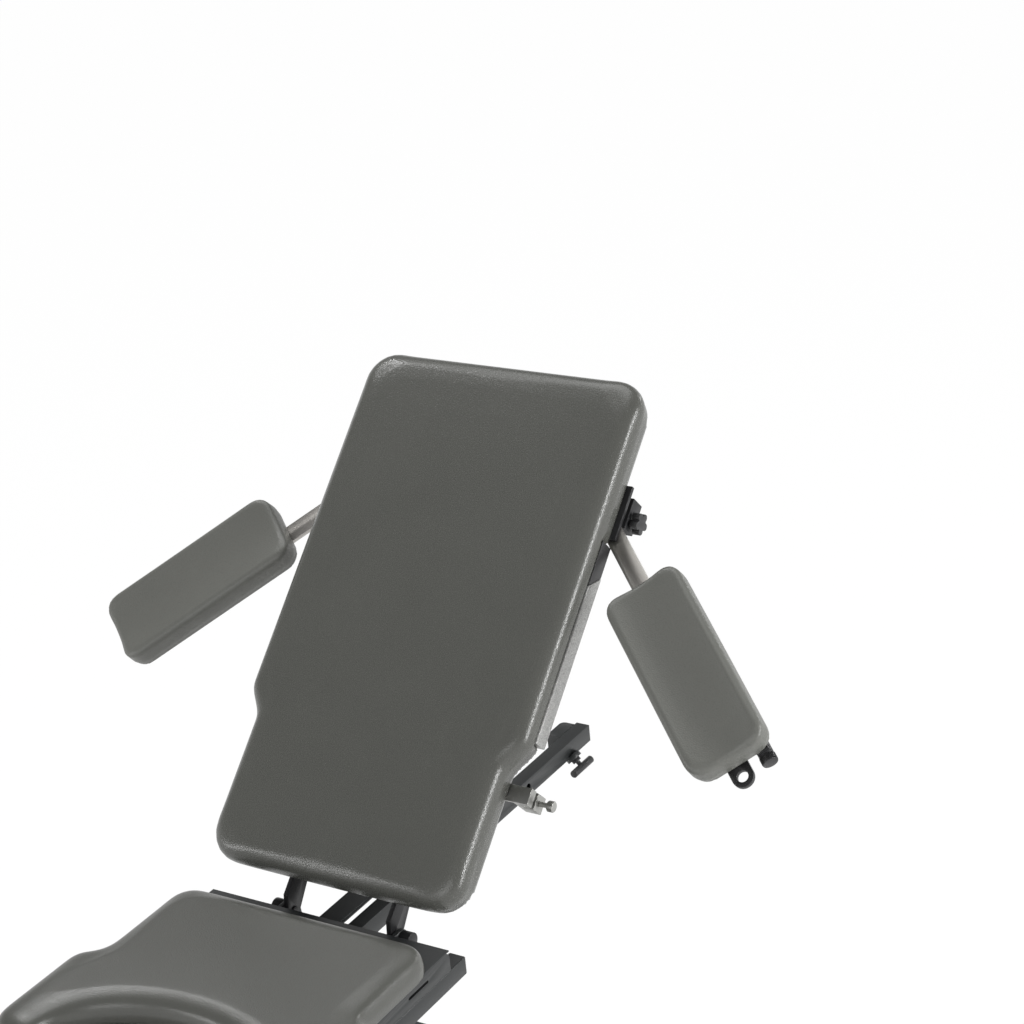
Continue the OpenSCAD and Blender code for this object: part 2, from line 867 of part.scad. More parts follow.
module pan_outline() {
    pan_half = frame_half;
    cut_half = cutout_w / 2 + pan_cut_margin;
    cut_y = seat_front_y + horn_r;
    difference() {
        translate([-pan_half, pan_front_y]) square([2 * pan_half, pan_rear_y - pan_front_y]);
        polygon(concat(
            [[cut_half, pan_front_y - cut]],
            [for (i = [0:24]) let (a = 180 * i / 24)
                [cut_half * cos(a), cut_y + (cutout_d - horn_r + pan_cut_margin) * sin(a)]],
            [[-cut_half, pan_front_y - cut]]));
    }
}

module seat_pan() {
    pan_l = pan_rear_y - pan_front_y;
    slot_rear = pan_rear_y - slot_gap;
    slot_z = pan_top - slot_drop - slot_h / 2;
    color(anthracite) union() {
        translate([0, 0, pan_top - pan_t]) linear_extrude(pan_t) pan_outline();
        both_sides() difference() {
            plate_x(frame_half - pan_t, pan_t) union() {
                translate([pan_front_y, rail_top]) square([pan_l, flange_h - pan_corner_r]);
                translate([pan_front_y, rail_top]) square([pan_l - pan_corner_r, flange_h - pan_t / 2]);
                translate([pan_rear_y - pan_corner_r, pan_top - pan_corner_r]) intersection() {
                    circle(pan_corner_r);
                    square([pan_corner_r, pan_corner_r - pan_t / 2]);
                }
            }
            for (y = [slot_rear - slot_h / 2, slot_rear - slot_l + slot_h / 2])
                rod_x([frame_half - 2 * pan_t, y, slot_z], slot_h / 2, 3 * pan_t);
            span([frame_half - 2 * pan_t, slot_rear - slot_l + slot_h / 2, slot_z - slot_h / 2],
                [frame_half + pan_t, slot_rear - slot_h / 2, slot_z + slot_h / 2]);
        }
    }
}

// Back gas spring along the frame's left side
module back_cylinder() {
    color(dark_plastic) difference() {
        rod_y([-lever_x, cylinder_front, lever_z], cylinder_r, cylinder_l);
        rod_y([-lever_x, cylinder_front + gland_l, lever_z], cylinder_r - cylinder_wall,
            cylinder_l - 2 * gland_l);
        rod_y([-lever_x, cylinder_rear - 2 * gland_l, lever_z], back_rod_r + run_clear, 3 * gland_l);
    }
}

module back_rod() {
    cheek = lug_t / 2 + fork_gap;
    out = cheek + fork_cheek_t;
    root = fork_pin_y - fork_depth;
    piston_y = fork_pin_y - lever_drop - piston_back;
    color(stainless) union() {
        rod_y([-lever_x, piston_y, lever_z], back_rod_r, root - fork_root - piston_y + cut);
        rod_y([-lever_x, piston_y, lever_z], cylinder_r - cylinder_wall - run_clear, gland_l);
        difference() {
            span([-lever_x - out, root - fork_root, lever_z - fork_half_h],
                [-lever_x + out, fork_pin_y + fork_half_h, lever_z + fork_half_h]);
            span([-lever_x - cheek, root, lever_z - 2 * fork_half_h],
                [-lever_x + cheek, fork_pin_y + 2 * fork_half_h, lever_z + 2 * fork_half_h]);
        }
        rod_x([-lever_x - out, fork_pin_y, lever_z], fork_pin_r, 2 * out);
    }
}

module cylinder_mounts() {
    half = cylinder_r + fork_gap;
    saddle_l = 18;
    front_t = 8;
    color(anthracite) {
        difference() {
            span([-lever_x - half, cross_rear_front, lever_z - half],
                [-lever_x + half, cross_rear_front + saddle_l, rail_bottom]);
            rod_y([-lever_x, cross_rear_front - cut, lever_z], cylinder_r + fit_clear, saddle_l + 2 * cut);
        }
        union() {
            span([-lever_x - half, cylinder_front - front_t, lever_z - half],
                [-lever_x + half, cylinder_front, rail_bottom]);
            span([-lever_x - half, cross_front_y, rail_bottom - front_t],
                [-lever_x + half, cylinder_front, rail_bottom]);
        }
    }
}

// Clamps for leg supports, one on each rail
module leg_clamp() {
    difference() {
        union() {
            span([frame_half, leg_clamp_y - leg_clamp_half, leg_clamp_top - leg_clamp_h],
                [leg_bore_x, leg_clamp_y + leg_clamp_half, leg_clamp_top]);
            rod_z([leg_bore_x, leg_clamp_y, leg_clamp_top - leg_clamp_h], leg_clamp_half, leg_clamp_h);
        }
        rod_z([leg_bore_x, leg_clamp_y, leg_clamp_top - leg_clamp_h - cut], leg_bore_r,
            leg_clamp_h + 2 * cut);
        rod_y([leg_bore_x, leg_clamp_y - 2 * leg_clamp_half, leg_clamp_top - leg_screw_drop],
            leg_screw_r + run_clear, 2 * leg_clamp_half);
    }
}

module leg_clamps() {
    color(anthracite) both_sides() leg_clamp();
}

module leg_screw() {
    stem_end = leg_clamp_y - leg_bore_r - run_clear;
    knob_y = leg_clamp_y - leg_clamp_half - leg_knob_gap;
    screw_l = stem_end - knob_y - leg_screw_r + knob_t / 2;
    color(dark_plastic) union() {
        rod_y([leg_bore_x, knob_y - knob_t / 2, leg_clamp_top - leg_screw_drop], leg_screw_r, screw_l);
        translate([leg_bore_x, knob_y, leg_clamp_top - leg_screw_drop]) rotate([90, leg_knob_turn, 0])
            star_knob(knob_r, knob_t);
    }
}

module leg_screw_right() {
    leg_screw();
}

module leg_screw_left() {
    mirror([1, 0, 0]) leg_screw();
}

// Drain bowl and its runners
module bowl_runners() {
    slot_low = rim_z - slide_clear;
    slot_high = rim_z + rim_t + slide_clear;
    color(zinc) both_sides() difference() {
        span([rail_in - runner_w + runner_bite / 2, rail_front_y, rim_z + rim_t / 2 - runner_h / 2],
            [rail_in + runner_bite / 2, cross_front_y, rail_bottom]);
        span([rail_in - runner_w, rail_front_y - cut, slot_low],
            [bowl_half + slide_clear, cross_front_y + cut, slot_high]);
    }
}

module drain_bowl() {
    mid_y = (bowl_front_y + bowl_rear_y) / 2;
    rim_d = bowl_rear_y - bowl_front_y;
    basin_d = rim_d - 2 * basin_inset;
    color(stainless) translate([0, mid_y, rim_z]) difference() {
        union() {
            linear_extrude(rim_t) rounded_rect(2 * bowl_half, rim_d, corner_r);
            translate([0, 0, -basin_depth]) linear_extrude(basin_depth + rim_t)
                rounded_rect(2 * basin_half, basin_d, basin_r);
        }
        translate([0, 0, -basin_depth + basin_wall]) linear_extrude(basin_depth + rim_t)
            rounded_rect(2 * (basin_half - basin_wall), basin_d - 2 * basin_wall, basin_r - basin_wall);
    }
}

// Release levers of the gas springs
module lever_brackets() {
    cheek_mid = release_half + release_cheek_t / 2 + run_clear;
    half_t = release_cheek_t / 2;
    color(anthracite) both_sides() union() {
        for (y = [release_y - cheek_mid, release_y + cheek_mid])
            span([release_x - release_w / 2, y - half_t, rail_bottom - release_block_h],
                [release_x + release_w / 2, y + half_t, rail_bottom]);
        rod_y([release_x, release_y - release_half - release_cheek_t, release_z], release_pin_r,
            2 * (release_half + release_cheek_t));
    }
}

module release_lever() {
    color(dark_plastic) difference() {
        union() {
            rod_y([release_x, release_y - release_half, release_z], hub_r, 2 * release_half);
            rod_x([release_x, release_y, release_z], release_bar_r, release_reach);
            rod_x([release_x + release_reach - grip_l, release_y, release_z], grip_r, grip_l);
        }
        rod_y([release_x, release_y - 2 * release_half, release_z], release_pin_r + run_clear,
            4 * release_half);
    }
}

module back_release() {
    mirror([1, 0, 0]) release_lever();
}

module tilt_release() {
    release_lever();
}

// The backrest's own frame: X across, Y up along the board's rear face, Z towards the patient
module back_place() {
    translate([0, hinge_y, hinge_z]) rotate([back_angle, 0, 0]) translate([0, hinge_below, hinge_behind])
        children();
}

function back_inset(p, d) =
    [p.x * (1 - d / (back_upper_w / 2)), back_l / 2 + (p.y - back_l / 2) * (1 - d / (back_l / 2))];

// Right half of the backrest's outline, drawn in by d, with a notch for the side strip if asked
function back_half(d, notched) = let (
        low_half = back_lower_w / 2,
        high_half = back_upper_w / 2,
        low_part = concat(
            arc(low_half - back_corner_r, back_corner_r, back_corner_r, -90, 0, 5),
            [for (i = [0:6]) let (t = i / 6)
                [low_half + (high_half - low_half) * t * t * (3 - 2 * t),
                    shoulder_start + shoulder_l * t]]),
        notch = [[high_half, strip_start - notch_step], [high_half, notch_end]],
        high_part = concat([[high_half, notch_end + notch_step]],
            arc(high_half - back_corner_r, back_l - back_corner_r, back_corner_r, 0, 90, 6)))
    concat(
        [for (p = low_part) back_inset(p, d)],
        [for (p = notch) notched ? [strip_x, p.y + notch_step / 2] : back_inset(p, d)],
        [for (p = high_part) back_inset(p, d)]);

module back_cushion() {
    round_n = back_t - back_crown - back_edge_r;
    rings = concat(
        [[back_draw, board_t + fit_clear, true], [back_draw / 2, (board_t + strip_h) / 2, true],
            [back_draw / 4, strip_h + soft_clear, true], [0, strip_h + soft_clear + ledge_step, false]],
        [for (i = [0:5]) let (a = 90 * i / 6)
            [back_edge_r * (1 - cos(a)), round_n + back_edge_r * sin(a), false]],
        [[back_edge_r, back_t - back_crown, false], [2 * back_edge_r, back_t - back_crown / 2, false],
            [4 * back_edge_r, back_t - back_crown / 6, false], [6 * back_edge_r, back_t, false]]);
    outlines = [for (r = rings) at_height(with_mirror(back_half(r[0], r[2])), r[1])];
    color(upholstery) back_place() loft(outlines, oval_cap(len(outlines[0])));
}

module back_board() {
    color(plywood) back_place() linear_extrude(board_t) polygon(with_mirror(back_half(back_draw, true)));
}

module side_strips() {
    low = strip_start + notch_step;
    high = strip_start + strip_l;
    color(silver) back_place() both_sides()
        plate_x(strip_x + soft_clear, back_upper_w / 2 - strip_x - soft_clear)
        polygon([[low, 0], [high, 0], [high - strip_slant, strip_h], [low, strip_h]]);
}

module strip_blocks() {
    low = strip_start + strip_l + soft_clear;
    high = notch_end - notch_step;
    block_w = back_upper_w / 2 - strip_x - soft_clear - notch_step;
    color(dark_plastic) back_place() both_sides() plate_x(strip_x + soft_clear, block_w)
        polygon([[low, 0], [high, 0], [high, strip_h], [low - strip_slant, strip_h]]);
}

module back_frame() {
    color(anthracite) back_place() {
        both_sides() span([back_rail_x, back_rail_start, -back_rail_h],
            [back_rail_x + back_rail_w, back_rail_end, 0]);
        span([-back_rail_x, low_cross_s, -back_rail_h], [back_rail_x, low_cross_s + low_cross_w, 0]);
        span([-bracket_in, high_cross_s, -2 * back_rail_h],
            [bracket_in, high_cross_s + high_cross_w, -back_rail_h]);
    }
}

// One hinge lug, in the backrest's frame; the left one carries the lever
module hinge_lug(side) {
    difference() {
        plate_x(side > 0 ? lug_x : -lug_x - lug_t, lug_t) union() {
            translate([-hinge_below, -hinge_behind]) circle(ear_r);
            polygon([[lug_top, 0], [lug_top - lug_root_h, -back_rail_h],
                [-hinge_below + ear_r / 2, -hinge_behind - ear_r * sin(60)],
                [-hinge_below - ear_r * cos(45), -hinge_behind + ear_r * sin(45)],
                    [-hinge_below + ear_r, 0]]);
            if (side < 0) translate([-hinge_below, -hinge_behind]) rotate(-90 - lever_mid) union() {
                translate([0, -lever_half_w]) square([lever_end, 2 * lever_half_w]);
                translate([lever_end, 0]) circle(lever_half_w);
            }
        }
        rod_x([-lug_x - 2 * lug_t, -hinge_below, -hinge_behind], hinge_pin_r + run_clear,
            2 * (lug_x + 2 * lug_t));
        if (side < 0) translate([-lug_x - 2 * lug_t, -hinge_below, -hinge_behind]) rotate([90, 0, 90])
            rotate(-90 - lever_mid) linear_extrude(3 * lug_t) union() {
                translate([lever_drop, -fork_pin_r - lever_play])
                    square([lever_end - lever_drop, 2 * (fork_pin_r + lever_play)]);
                translate([lever_drop, 0]) circle(fork_pin_r + lever_play);
                translate([lever_end, 0]) circle(fork_pin_r + lever_play);
            }
    }
}

module hinge_lugs() {
    color(anthracite) back_place() {
        hinge_lug(1);
        hinge_lug(-1);
    }
}

// Black bracket that holds an armrest's bar between a plate and a block
module arm_bracket() {
    difference() {
        union() {
            span([bracket_in, bracket_low_s, -plate_t], [bracket_out, bracket_high_s, 0]);
            span([bracket_in, bracket_low_s, block_top - block_t], [bracket_web, bracket_high_s, 0]);
            span([bracket_in, arm_s - block_half, block_top - block_t],
                [bracket_out, arm_s + block_half / 2, block_top]);
        }
        rod_z([arm_x, arm_s, -bracket_high_s / 2], arm_pivot_r + fit_clear, bracket_high_s);
        rod_x([bracket_web + knob_stem_r, knob_s, knob_n], knob_stem_r + run_clear, bracket_out);
    }
}

module arm_brackets() {
    color(dark_plastic) back_place() both_sides() arm_bracket();
}

module arm_pivots() {
    low = block_top - block_t - arm_pivot_head_t;
    color(stainless) back_place() both_sides() union() {
        rod_z([arm_x, arm_s, low], arm_pivot_r, -low - fit_clear);
        rod_z([arm_x, arm_s, low - fit_clear], arm_pivot_head_r, arm_pivot_head_t);
    }
}

module knob_right() {
    color(dark_plastic) back_place() union() {
        rod_x([bracket_out + knob_out - knob_stem_in, knob_s, knob_n], knob_stem_r, knob_stem_in);
        translate([bracket_out + knob_out, knob_s, knob_n]) rotate([0, 90, 0]) star_knob(knob_r, knob_t);
    }
}

module knob_left() {
    mirror([1, 0, 0]) knob_right();
}

// Clamp on the backrest's lower right side
module side_clamp() {
    color(zinc) back_place() difference() {
        union() {
            span([clamp_arm_in, clamp_s - clamp_half, -clamp_arm_t], [clamp_out, clamp_s + clamp_half, 0]);
            span([clamp_in, clamp_s - clamp_half, clamp_low], [clamp_out, clamp_s + clamp_half, 0]);
        }
        span([clamp_in + clamp_wall, clamp_s - 2 * clamp_half, clamp_slot_n - clamp_slot / 2],
            [clamp_out + cut, clamp_s + 2 * clamp_half, clamp_slot_n + clamp_slot / 2]);
        rod_x([clamp_in - cut, clamp_s, (clamp_low + clamp_slot_n) / 2], clamp_screw_r + run_clear,
            clamp_out);
    }
}

module clamp_screw() {
    n = (clamp_low + clamp_slot_n) / 2;
    color(stainless) back_place() union() {
        rod_x([clamp_in + clamp_wall, clamp_s, n], clamp_screw_r,
            clamp_out - clamp_in - clamp_wall + clamp_screw_out);
        rod_x([clamp_out + clamp_screw_out, clamp_s, n], clamp_knob_r, clamp_knob_l);
    }
}

// The right armrest's own frame: Y along the bar from its pivot, Z towards the patient
module arm_place() {
    back_place() translate([arm_x, arm_s, 0]) rotate([0, 0, -arm_angle]) children();
}

module arm_bar() {
    difference() {
        translate([0, 0, bar_low]) linear_extrude(arm_bar_t) union() {
            circle(bar_tail);
            translate([-arm_bar_w / 2, 0]) square([arm_bar_w, pad_start + bar_under_pad]);
        }
        rod_z([0, 0, 2 * bar_low], arm_pivot_r + run_clear, -2 * bar_low);
    }
}

// Height of a pad's upper face across its width
function pad_height(x, drop) =
    let (t = min(1, abs(x) / (pad_w / 2 - pad_edge_r))) bar_top + pad_t - drop - gutter_d * (1 - t * t) ;

// Right half of a pad's outline, with points across its ends for the gutter to follow
function pad_half() = let (flat_half = pad_w / 2 - pad_corner_r) concat(
    [for (i = [0:2]) [flat_half * (2 * i + 1) / 7, pad_start]],
    arc(flat_half, pad_start + pad_corner_r, pad_corner_r, -90, 0, 5),
    arc(flat_half, pad_start + pad_l - pad_corner_r, pad_corner_r, 0, 90, 5),
    [for (i = [2:-1:0]) [flat_half * (2 * i + 1) / 7, pad_start + pad_l]]);

function pad_inset(p, d) = let (mid = pad_start + pad_l / 2)
    [p.x * (1 - d / (pad_w / 2)), mid + (p.y - mid) * (1 - d / (pad_l / 2))];

module arm_pad() {
    low = bar_top + fit_clear;
    flat_rings = [[pad_draw, low], [pad_draw / 2, low + pad_board_t], [0, low + 1.5 * pad_board_t]];
    round_rings = [for (i = [1:4])
        let (a = 90 * i / 4) [pad_edge_r * (1 - cos(a)), pad_edge_r * (1 - sin(a))]];
    top_rings = [for (t = [0.3, 0.5, 0.7, 0.85]) [t * pad_w / 2, 0]];
    outline = with_mirror(pad_half());
    translate([-pad_shift, 0, 0]) loft(concat(
        [for (r = flat_rings) [for (p = outline) let (q = pad_inset(p, r[0])) [q.x, q.y, r[1]]]],
        [for (r = concat(round_rings, top_rings)) [for (p = outline) let (q = pad_inset(p, r[0]))
            [q.x, q.y, pad_height(q.x, r[1])]]]), halves_cap(len(outline)));
}

module arm_loop() {
    end = pad_start + pad_l;
    bar_end = pad_start + bar_under_pad;
    ring_y = end + loop_out - loop_r;
    translate([0, 0, bar_low - fit_clear - loop_t]) linear_extrude(loop_t) difference() {
        union() {
            translate([-loop_r, bar_end - loop_base_l]) square([2 * loop_r, ring_y - bar_end + loop_base_l]);
            translate([0, ring_y]) circle(loop_r);
        }
        translate([0, ring_y]) circle(loop_hole_r);
    }
    union() {
        span([-end_knob_across - end_block_w / 2, end - end_block_l, bar_top - end_block_h],
            [-end_knob_across + end_block_w / 2, end - end_block_gap, bar_top]);
        rod_y([-end_knob_across, end - end_block_l, bar_top - end_block_h], end_knob_r,
            end_block_l + end_knob_l / 2);
    }
}

module arm_right_bar() {
    color(stainless) arm_place() arm_bar();
}

module arm_right_pad() {
    color(pad_cloth) arm_place() arm_pad();
}

module arm_right_loop() {
    color(dark_plastic) arm_place() arm_loop();
}

module arm_left_bar() {
    mirror([1, 0, 0]) arm_right_bar();
}

module arm_left_pad() {
    mirror([1, 0, 0]) arm_right_pad();
}

base_spine();
cross_feet();
foot_caps();
levelling_feet();
column_flange();
column_outer();
collar_outer();
lift_cylinder();
pump_block();
column_middle();
collar_middle();
column_inner();
tilt_head();
lift_ram();
pedal_lever();
pedal_pad();
tilt_cylinder();
tilt_rod();
seat_rails();
cross_rear();
cross_front();
rear_beam();
carrier_bar();
beam_stop();
frame_ears();
tilt_pin();
hinge_pins();
seat_pan();
seat_cushion();
back_cylinder();
cylinder_mounts();
leg_clamps();
bowl_runners();
lever_brackets();
leg_screw_left();
leg_screw_right();
drain_bowl();
back_rod();
tee_screw();
back_release();
tilt_release();
back_cushion();
back_board();
back_frame();
hinge_lugs();
side_strips();
strip_blocks();
arm_brackets();
arm_pivots();
side_clamp();
clamp_screw();
arm_right_bar();
arm_right_pad();
arm_right_loop();
arm_left_bar();
arm_left_pad();
knob_right();
knob_left();
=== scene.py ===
import json
import math
import bmesh
import bpy
import numpy as np
from mathutils import Matrix, Vector


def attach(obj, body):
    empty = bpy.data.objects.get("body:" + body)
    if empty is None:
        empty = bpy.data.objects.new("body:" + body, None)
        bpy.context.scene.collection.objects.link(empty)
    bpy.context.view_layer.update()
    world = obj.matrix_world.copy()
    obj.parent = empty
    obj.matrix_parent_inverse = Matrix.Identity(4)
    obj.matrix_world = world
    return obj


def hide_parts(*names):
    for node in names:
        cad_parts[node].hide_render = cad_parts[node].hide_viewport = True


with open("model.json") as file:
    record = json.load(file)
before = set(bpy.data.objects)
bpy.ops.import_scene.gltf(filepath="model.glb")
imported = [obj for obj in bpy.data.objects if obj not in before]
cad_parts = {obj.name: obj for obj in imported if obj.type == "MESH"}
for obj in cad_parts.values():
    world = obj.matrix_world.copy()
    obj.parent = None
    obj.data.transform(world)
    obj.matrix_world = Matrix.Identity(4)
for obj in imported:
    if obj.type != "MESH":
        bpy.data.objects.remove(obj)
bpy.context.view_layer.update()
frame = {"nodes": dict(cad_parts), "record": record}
nodes = frame["nodes"]
scene = bpy.context.scene
scene.view_settings.view_transform = "Standard"
print("frame loaded:", len(nodes), "nodes")


# camera, floor and light

camera = {
    "place": (2.1435, -2.7545, 2.6363),
    "right": (0.85043, 0.51834, -0.09096),
    "up": (-0.1328, 0.3787, 0.9161),
    "lens": 91.2,
    "sensor": 36.0,
}


def placeCamera():
    data = bpy.data.cameras.new("photoCamera")
    data.lens = camera["lens"]
    data.sensor_width = camera["sensor"]
    data.clip_end = 200
    eye = bpy.data.objects.new("photoCamera", data)
    scene.collection.objects.link(eye)
    right, up = Vector(camera["right"]), Vector(camera["up"])
    turn = Matrix((right, up, right.cross(up))).transposed().to_4x4()
    eye.matrix_world = Matrix.Translation(camera["place"]) @ turn
    scene.camera = eye


studio = {
    "floorReach": 40.0,
    "floorDrop": 0.0004,   # keeps the floor clear of the feet
    "floorGrey": 0.86,
    "fibreShade": 0.985,
    "floorGlow": 0.97,     # share of the floor that is plain white to the camera
    "ambient": 0.82,       # what the room gives to matt surfaces
    "ceiling": 0.15,       # what glossy surfaces see overhead
    "horizon": 0.45,       # how far up the walls stay bright
}
lamps = {
    # level with the back's face, so that it lights the right edges and not the face
    "rightStrip": {"place": (2.5, 0.50, 1.36), "aim": (0.2, 0.25, 0.9), "along": (0, 0.725, 0.688),
                   "size": (0.12, 1.9), "power": 54},
    "leftStrip": {"place": (-2.3, -2.6, 1.4), "aim": (0.0, -0.3, 0.7), "along": (0.6, -0.5, 0.6),
                  "size": (0.5, 1.8), "power": 26},
    "frontBox": {"place": (0.6, -3.4, 2.2), "aim": (0.0, 0.0, 0.7), "along": (0, 0, 1),
                 "size": (2.0, 1.4), "power": 28},
    "topBox": {"place": (-0.7, 1.3, 4.2), "aim": (0.0, 0.0, 0.6), "along": (0, 1, 0),
               "size": (2.4, 2.4), "power": 56},
    "rearBox": {"place": (1.4, 3.6, 1.9), "aim": (0.1, 0.0, 0.7), "along": (0, 0, 1),
                "size": (0.3, 0.3), "power": 9},
    "leftSpark": {"place": (-1.65, 0.75, 2.80), "aim": (0.0, -0.4, 0.6), "along": (0, 1, 0),
                  "size": (0.10, 0.4), "power": 11},
}


def hangLamp(name, lamp):
    data = bpy.data.lights.new(name, "AREA")
    data.shape = "RECTANGLE"
    data.size, data.size_y = lamp["size"]
    data.energy = lamp["power"]
    lampObject = bpy.data.objects.new(name, data)
    scene.collection.objects.link(lampObject)
    lampObject.visible_camera = False
    back = (Vector(lamp["place"]) - Vector(lamp["aim"])).normalized()
    across = Vector(lamp["along"]).cross(back).normalized()
    turn = Matrix((across, back.cross(across), back)).transposed().to_4x4()
    lampObject.matrix_world = Matrix.Translation(lamp["place"]) @ turn


# node trees


class Socket:
    # an output of a node, so that sums on it add Math nodes
    def __init__(self, bench, port):
        self.bench = bench
        self.port = port

    def calc(self, operation, *values):
        return self.bench.add("Math", {"operation": operation}, dict(enumerate(values)))

    def __add__(self, other):
        return self.calc("ADD", self, other)

    __radd__ = __add__

    def __sub__(self, other):
        return self.calc("SUBTRACT", self, other)

    def __rsub__(self, other):
        return self.calc("SUBTRACT", other, self)

    def __mul__(self, other):
        return self.calc("MULTIPLY", self, other)

    __rmul__ = __mul__

    def clamped(self, low, high):
        limits = {"Value": self, "From Min": low, "From Max": high}
        return self.bench.add("MapRange", {"interpolation_type": "SMOOTHSTEP"}, limits)


class Bench:
    # one node tree and the single way that nodes are put in it; short names are shader nodes
    def __init__(self, tree):
        self.tree = tree

    def add(self, kind, settings=None, sockets=None, output=0):
        node = self.tree.nodes.new(kind if "Node" in kind else "ShaderNode" + kind)
        for key, value in (settings or {}).items():
            setattr(node, key, value)
        for key, value in (sockets or {}).items():
            self.feed(node.inputs[key], value)
        return Socket(self, node.outputs[output]) if len(node.outputs) else node

    def feed(self, place, value):
        if isinstance(value, Socket):
            self.tree.links.new(value.port, place)
        elif place.type == "RGBA" and len(value) == 3:
            place.default_value = (*value, 1)
        else:
            place.default_value = value


class Finish(Bench):
    # a material with its own Principled shader
    def __init__(self, name):
        self.material = bpy.data.materials.new(name)
        self.material.use_nodes = True
        self.material.node_tree.nodes.clear()
        super().__init__(self.material.node_tree)
        self.place = self.add("TexCoord", output="Object")

    def followPiece(self):
        # patterns then run along the piece's own length
        self.place = self.add("Attribute", {"attribute_name": "along"}, output="Vector")

    def stretched(self, x, y, z):
        return self.add("Mapping", {"vector_type": "POINT"}, {"Vector": self.place, "Scale": (x, y, z)})

    def noise(self, scale, detail, vector=None):
        sockets = {"Vector": vector or self.place, "Scale": scale, "Detail": detail}
        return self.add("TexNoise", None, sockets)

    def cells(self, scale, feature="F1"):
        sockets = {"Vector": self.place, "Scale": scale}
        return self.add("TexVoronoi", {"feature": feature}, sockets, output="Distance")

    def mixed(self, factor, first, second):
        return self.add("Mix", {"data_type": "RGBA"}, {0: factor, 6: first, 7: second}, output=2)

    def bump(self, height, strength, depth):
        return self.add("Bump", None, {"Height": height, "Strength": strength, "Distance": depth})

    def done(self, **sockets):
        named = {key.replace("_", " "): value for key, value in sockets.items()}
        shader = self.add("BsdfPrincipled", None, named)
        self.add("OutputMaterial", None, {"Surface": shader})
        return self.material


def shade(colour, factor):
    return tuple(part * factor for part in colour)


def leatherette(name, tint, gloss):
    finish = Finish(name)
    pebbles = finish.cells(520, "SMOOTH_F1")
    fine = finish.noise(1500, 2.0)
    clouds = finish.noise(9, 4.0)
    rubs = finish.noise(38, 5.0).clamped(0.52, 0.78)
    height = 1 - pebbles * 1.15 + fine * 0.22
    # painted shade: the low valleys between the grain's pebbles are darkened in the colour, as shade in them;
    # they are also made rougher
    shadedValleys = pebbles.clamped(0.35, 0.9)
    base = finish.mixed(clouds, shade(tint, 0.95), shade(tint, 1.06))
    base = finish.mixed(shadedValleys * 0.32, base, shade(tint, 0.62))
    base = finish.mixed(rubs * 0.1, base, shade(tint, 1.4))
    return finish.done(
        Base_Color=base,
        Roughness=gloss + (clouds - 0.5) * 0.03 + shadedValleys * 0.1 - rubs * 0.01,
        Normal=finish.bump(height, 0.34, 0.0006),
    )


def powderCoat(name, tint, rough, level=0.35):
    finish = Finish(name)
    peel = finish.noise(420, 2.0)
    speck = finish.cells(1400)
    dust = finish.noise(14, 6.0)
    scuffs = finish.noise(90, 7.0, finish.stretched(1, 0.35, 1.6)).clamped(0.66, 0.82)
    base = finish.mixed(dust, shade(tint, 0.86), shade(tint, 1.16))
    base = finish.mixed(scuffs * 0.25, base, shade(tint, 2.1))
    return finish.done(
        Base_Color=base,
        Roughness=rough + (dust - 0.5) * 0.14 + scuffs * 0.1,
        Specular_IOR_Level=level,
        Normal=finish.bump(peel * 0.8 + speck * 0.3, 0.16, 0.0005),
    )


def glossPaint(name, tint):
    finish = Finish(name)
    peel = finish.noise(120, 2.0)
    haze = finish.noise(22, 5.0)
    return finish.done(
        Base_Color=finish.mixed(haze, shade(tint, 0.8), shade(tint, 1.3)),
        Roughness=0.2 + haze * 0.12,
        Coat_Weight=0.4,
        Normal=finish.bump(peel, 0.05, 0.0004),
    )


def mouldedPlastic(name, tint, rough):
    finish = Finish(name)
    grain = finish.cells(1100)
    flow = finish.noise(30, 4.0)
    return finish.done(
        Base_Color=finish.mixed(flow, shade(tint, 0.8), shade(tint, 1.35)),
        Roughness=rough + (flow - 0.5) * 0.16,
        Normal=finish.bump(grain, 0.22, 0.0004),
    )


def rubber(name, tint):
    finish = Finish(name)
    grit = finish.noise(700, 3.0)
    bloom = finish.noise(18, 5.0)
    return finish.done(
        Base_Color=finish.mixed(bloom, shade(tint, 0.8), shade(tint, 1.7)),
        Roughness=0.78 + (bloom - 0.5) * 0.15,
        Normal=finish.bump(grit, 0.25, 0.0004),
    )


def platedSteel(name, tint, rough, spangle):
    finish = Finish(name)
    patches = finish.add("TexVoronoi", None, {"Vector": finish.place, "Scale": 130}, output="Color")
    tone = finish.add("SeparateColor", None, {"Color": patches}) * spangle
    dull = finish.noise(60, 6.0)
    return finish.done(
        Base_Color=finish.mixed(tone + dull * 0.2, tint, shade(tint, 0.62)),
        Metallic=1.0,
        Roughness=rough + dull * 0.16 + tone * 0.1,
        Normal=finish.bump(finish.noise(500, 3.0), 0.07, 0.0004),
    )


def brushedSteel(name, tint, rough):
    finish = Finish(name)
    finish.followPiece()
    lines = finish.noise(1, 4.0, finish.stretched(1900, 14, 1900))
    wide = finish.noise(1, 3.0, finish.stretched(260, 6, 260))
    smears = finish.noise(26, 5.0)
    return finish.done(
        Base_Color=finish.mixed(lines * 0.6 + smears * 0.3, tint, shade(tint, 0.7)),
        Metallic=1.0,
        Roughness=rough + lines * 0.12 + wide * 0.06 + smears * 0.05,
        Normal=finish.bump(lines * 0.6 + wide * 0.6, 0.12, 0.0004),
    )


def groundSteel(name, tint):
    finish = Finish(name)
    rings = finish.noise(1, 3.0, finish.stretched(300, 2200, 2200))
    oil = finish.noise(40, 4.0)
    return finish.done(
        Base_Color=finish.mixed(oil * 0.5, tint, shade(tint, 0.75)),
        Metallic=1.0,
        Roughness=0.12 + oil * 0.12 + rings * 0.06,
        Normal=finish.bump(rings, 0.05, 0.0003),
    )


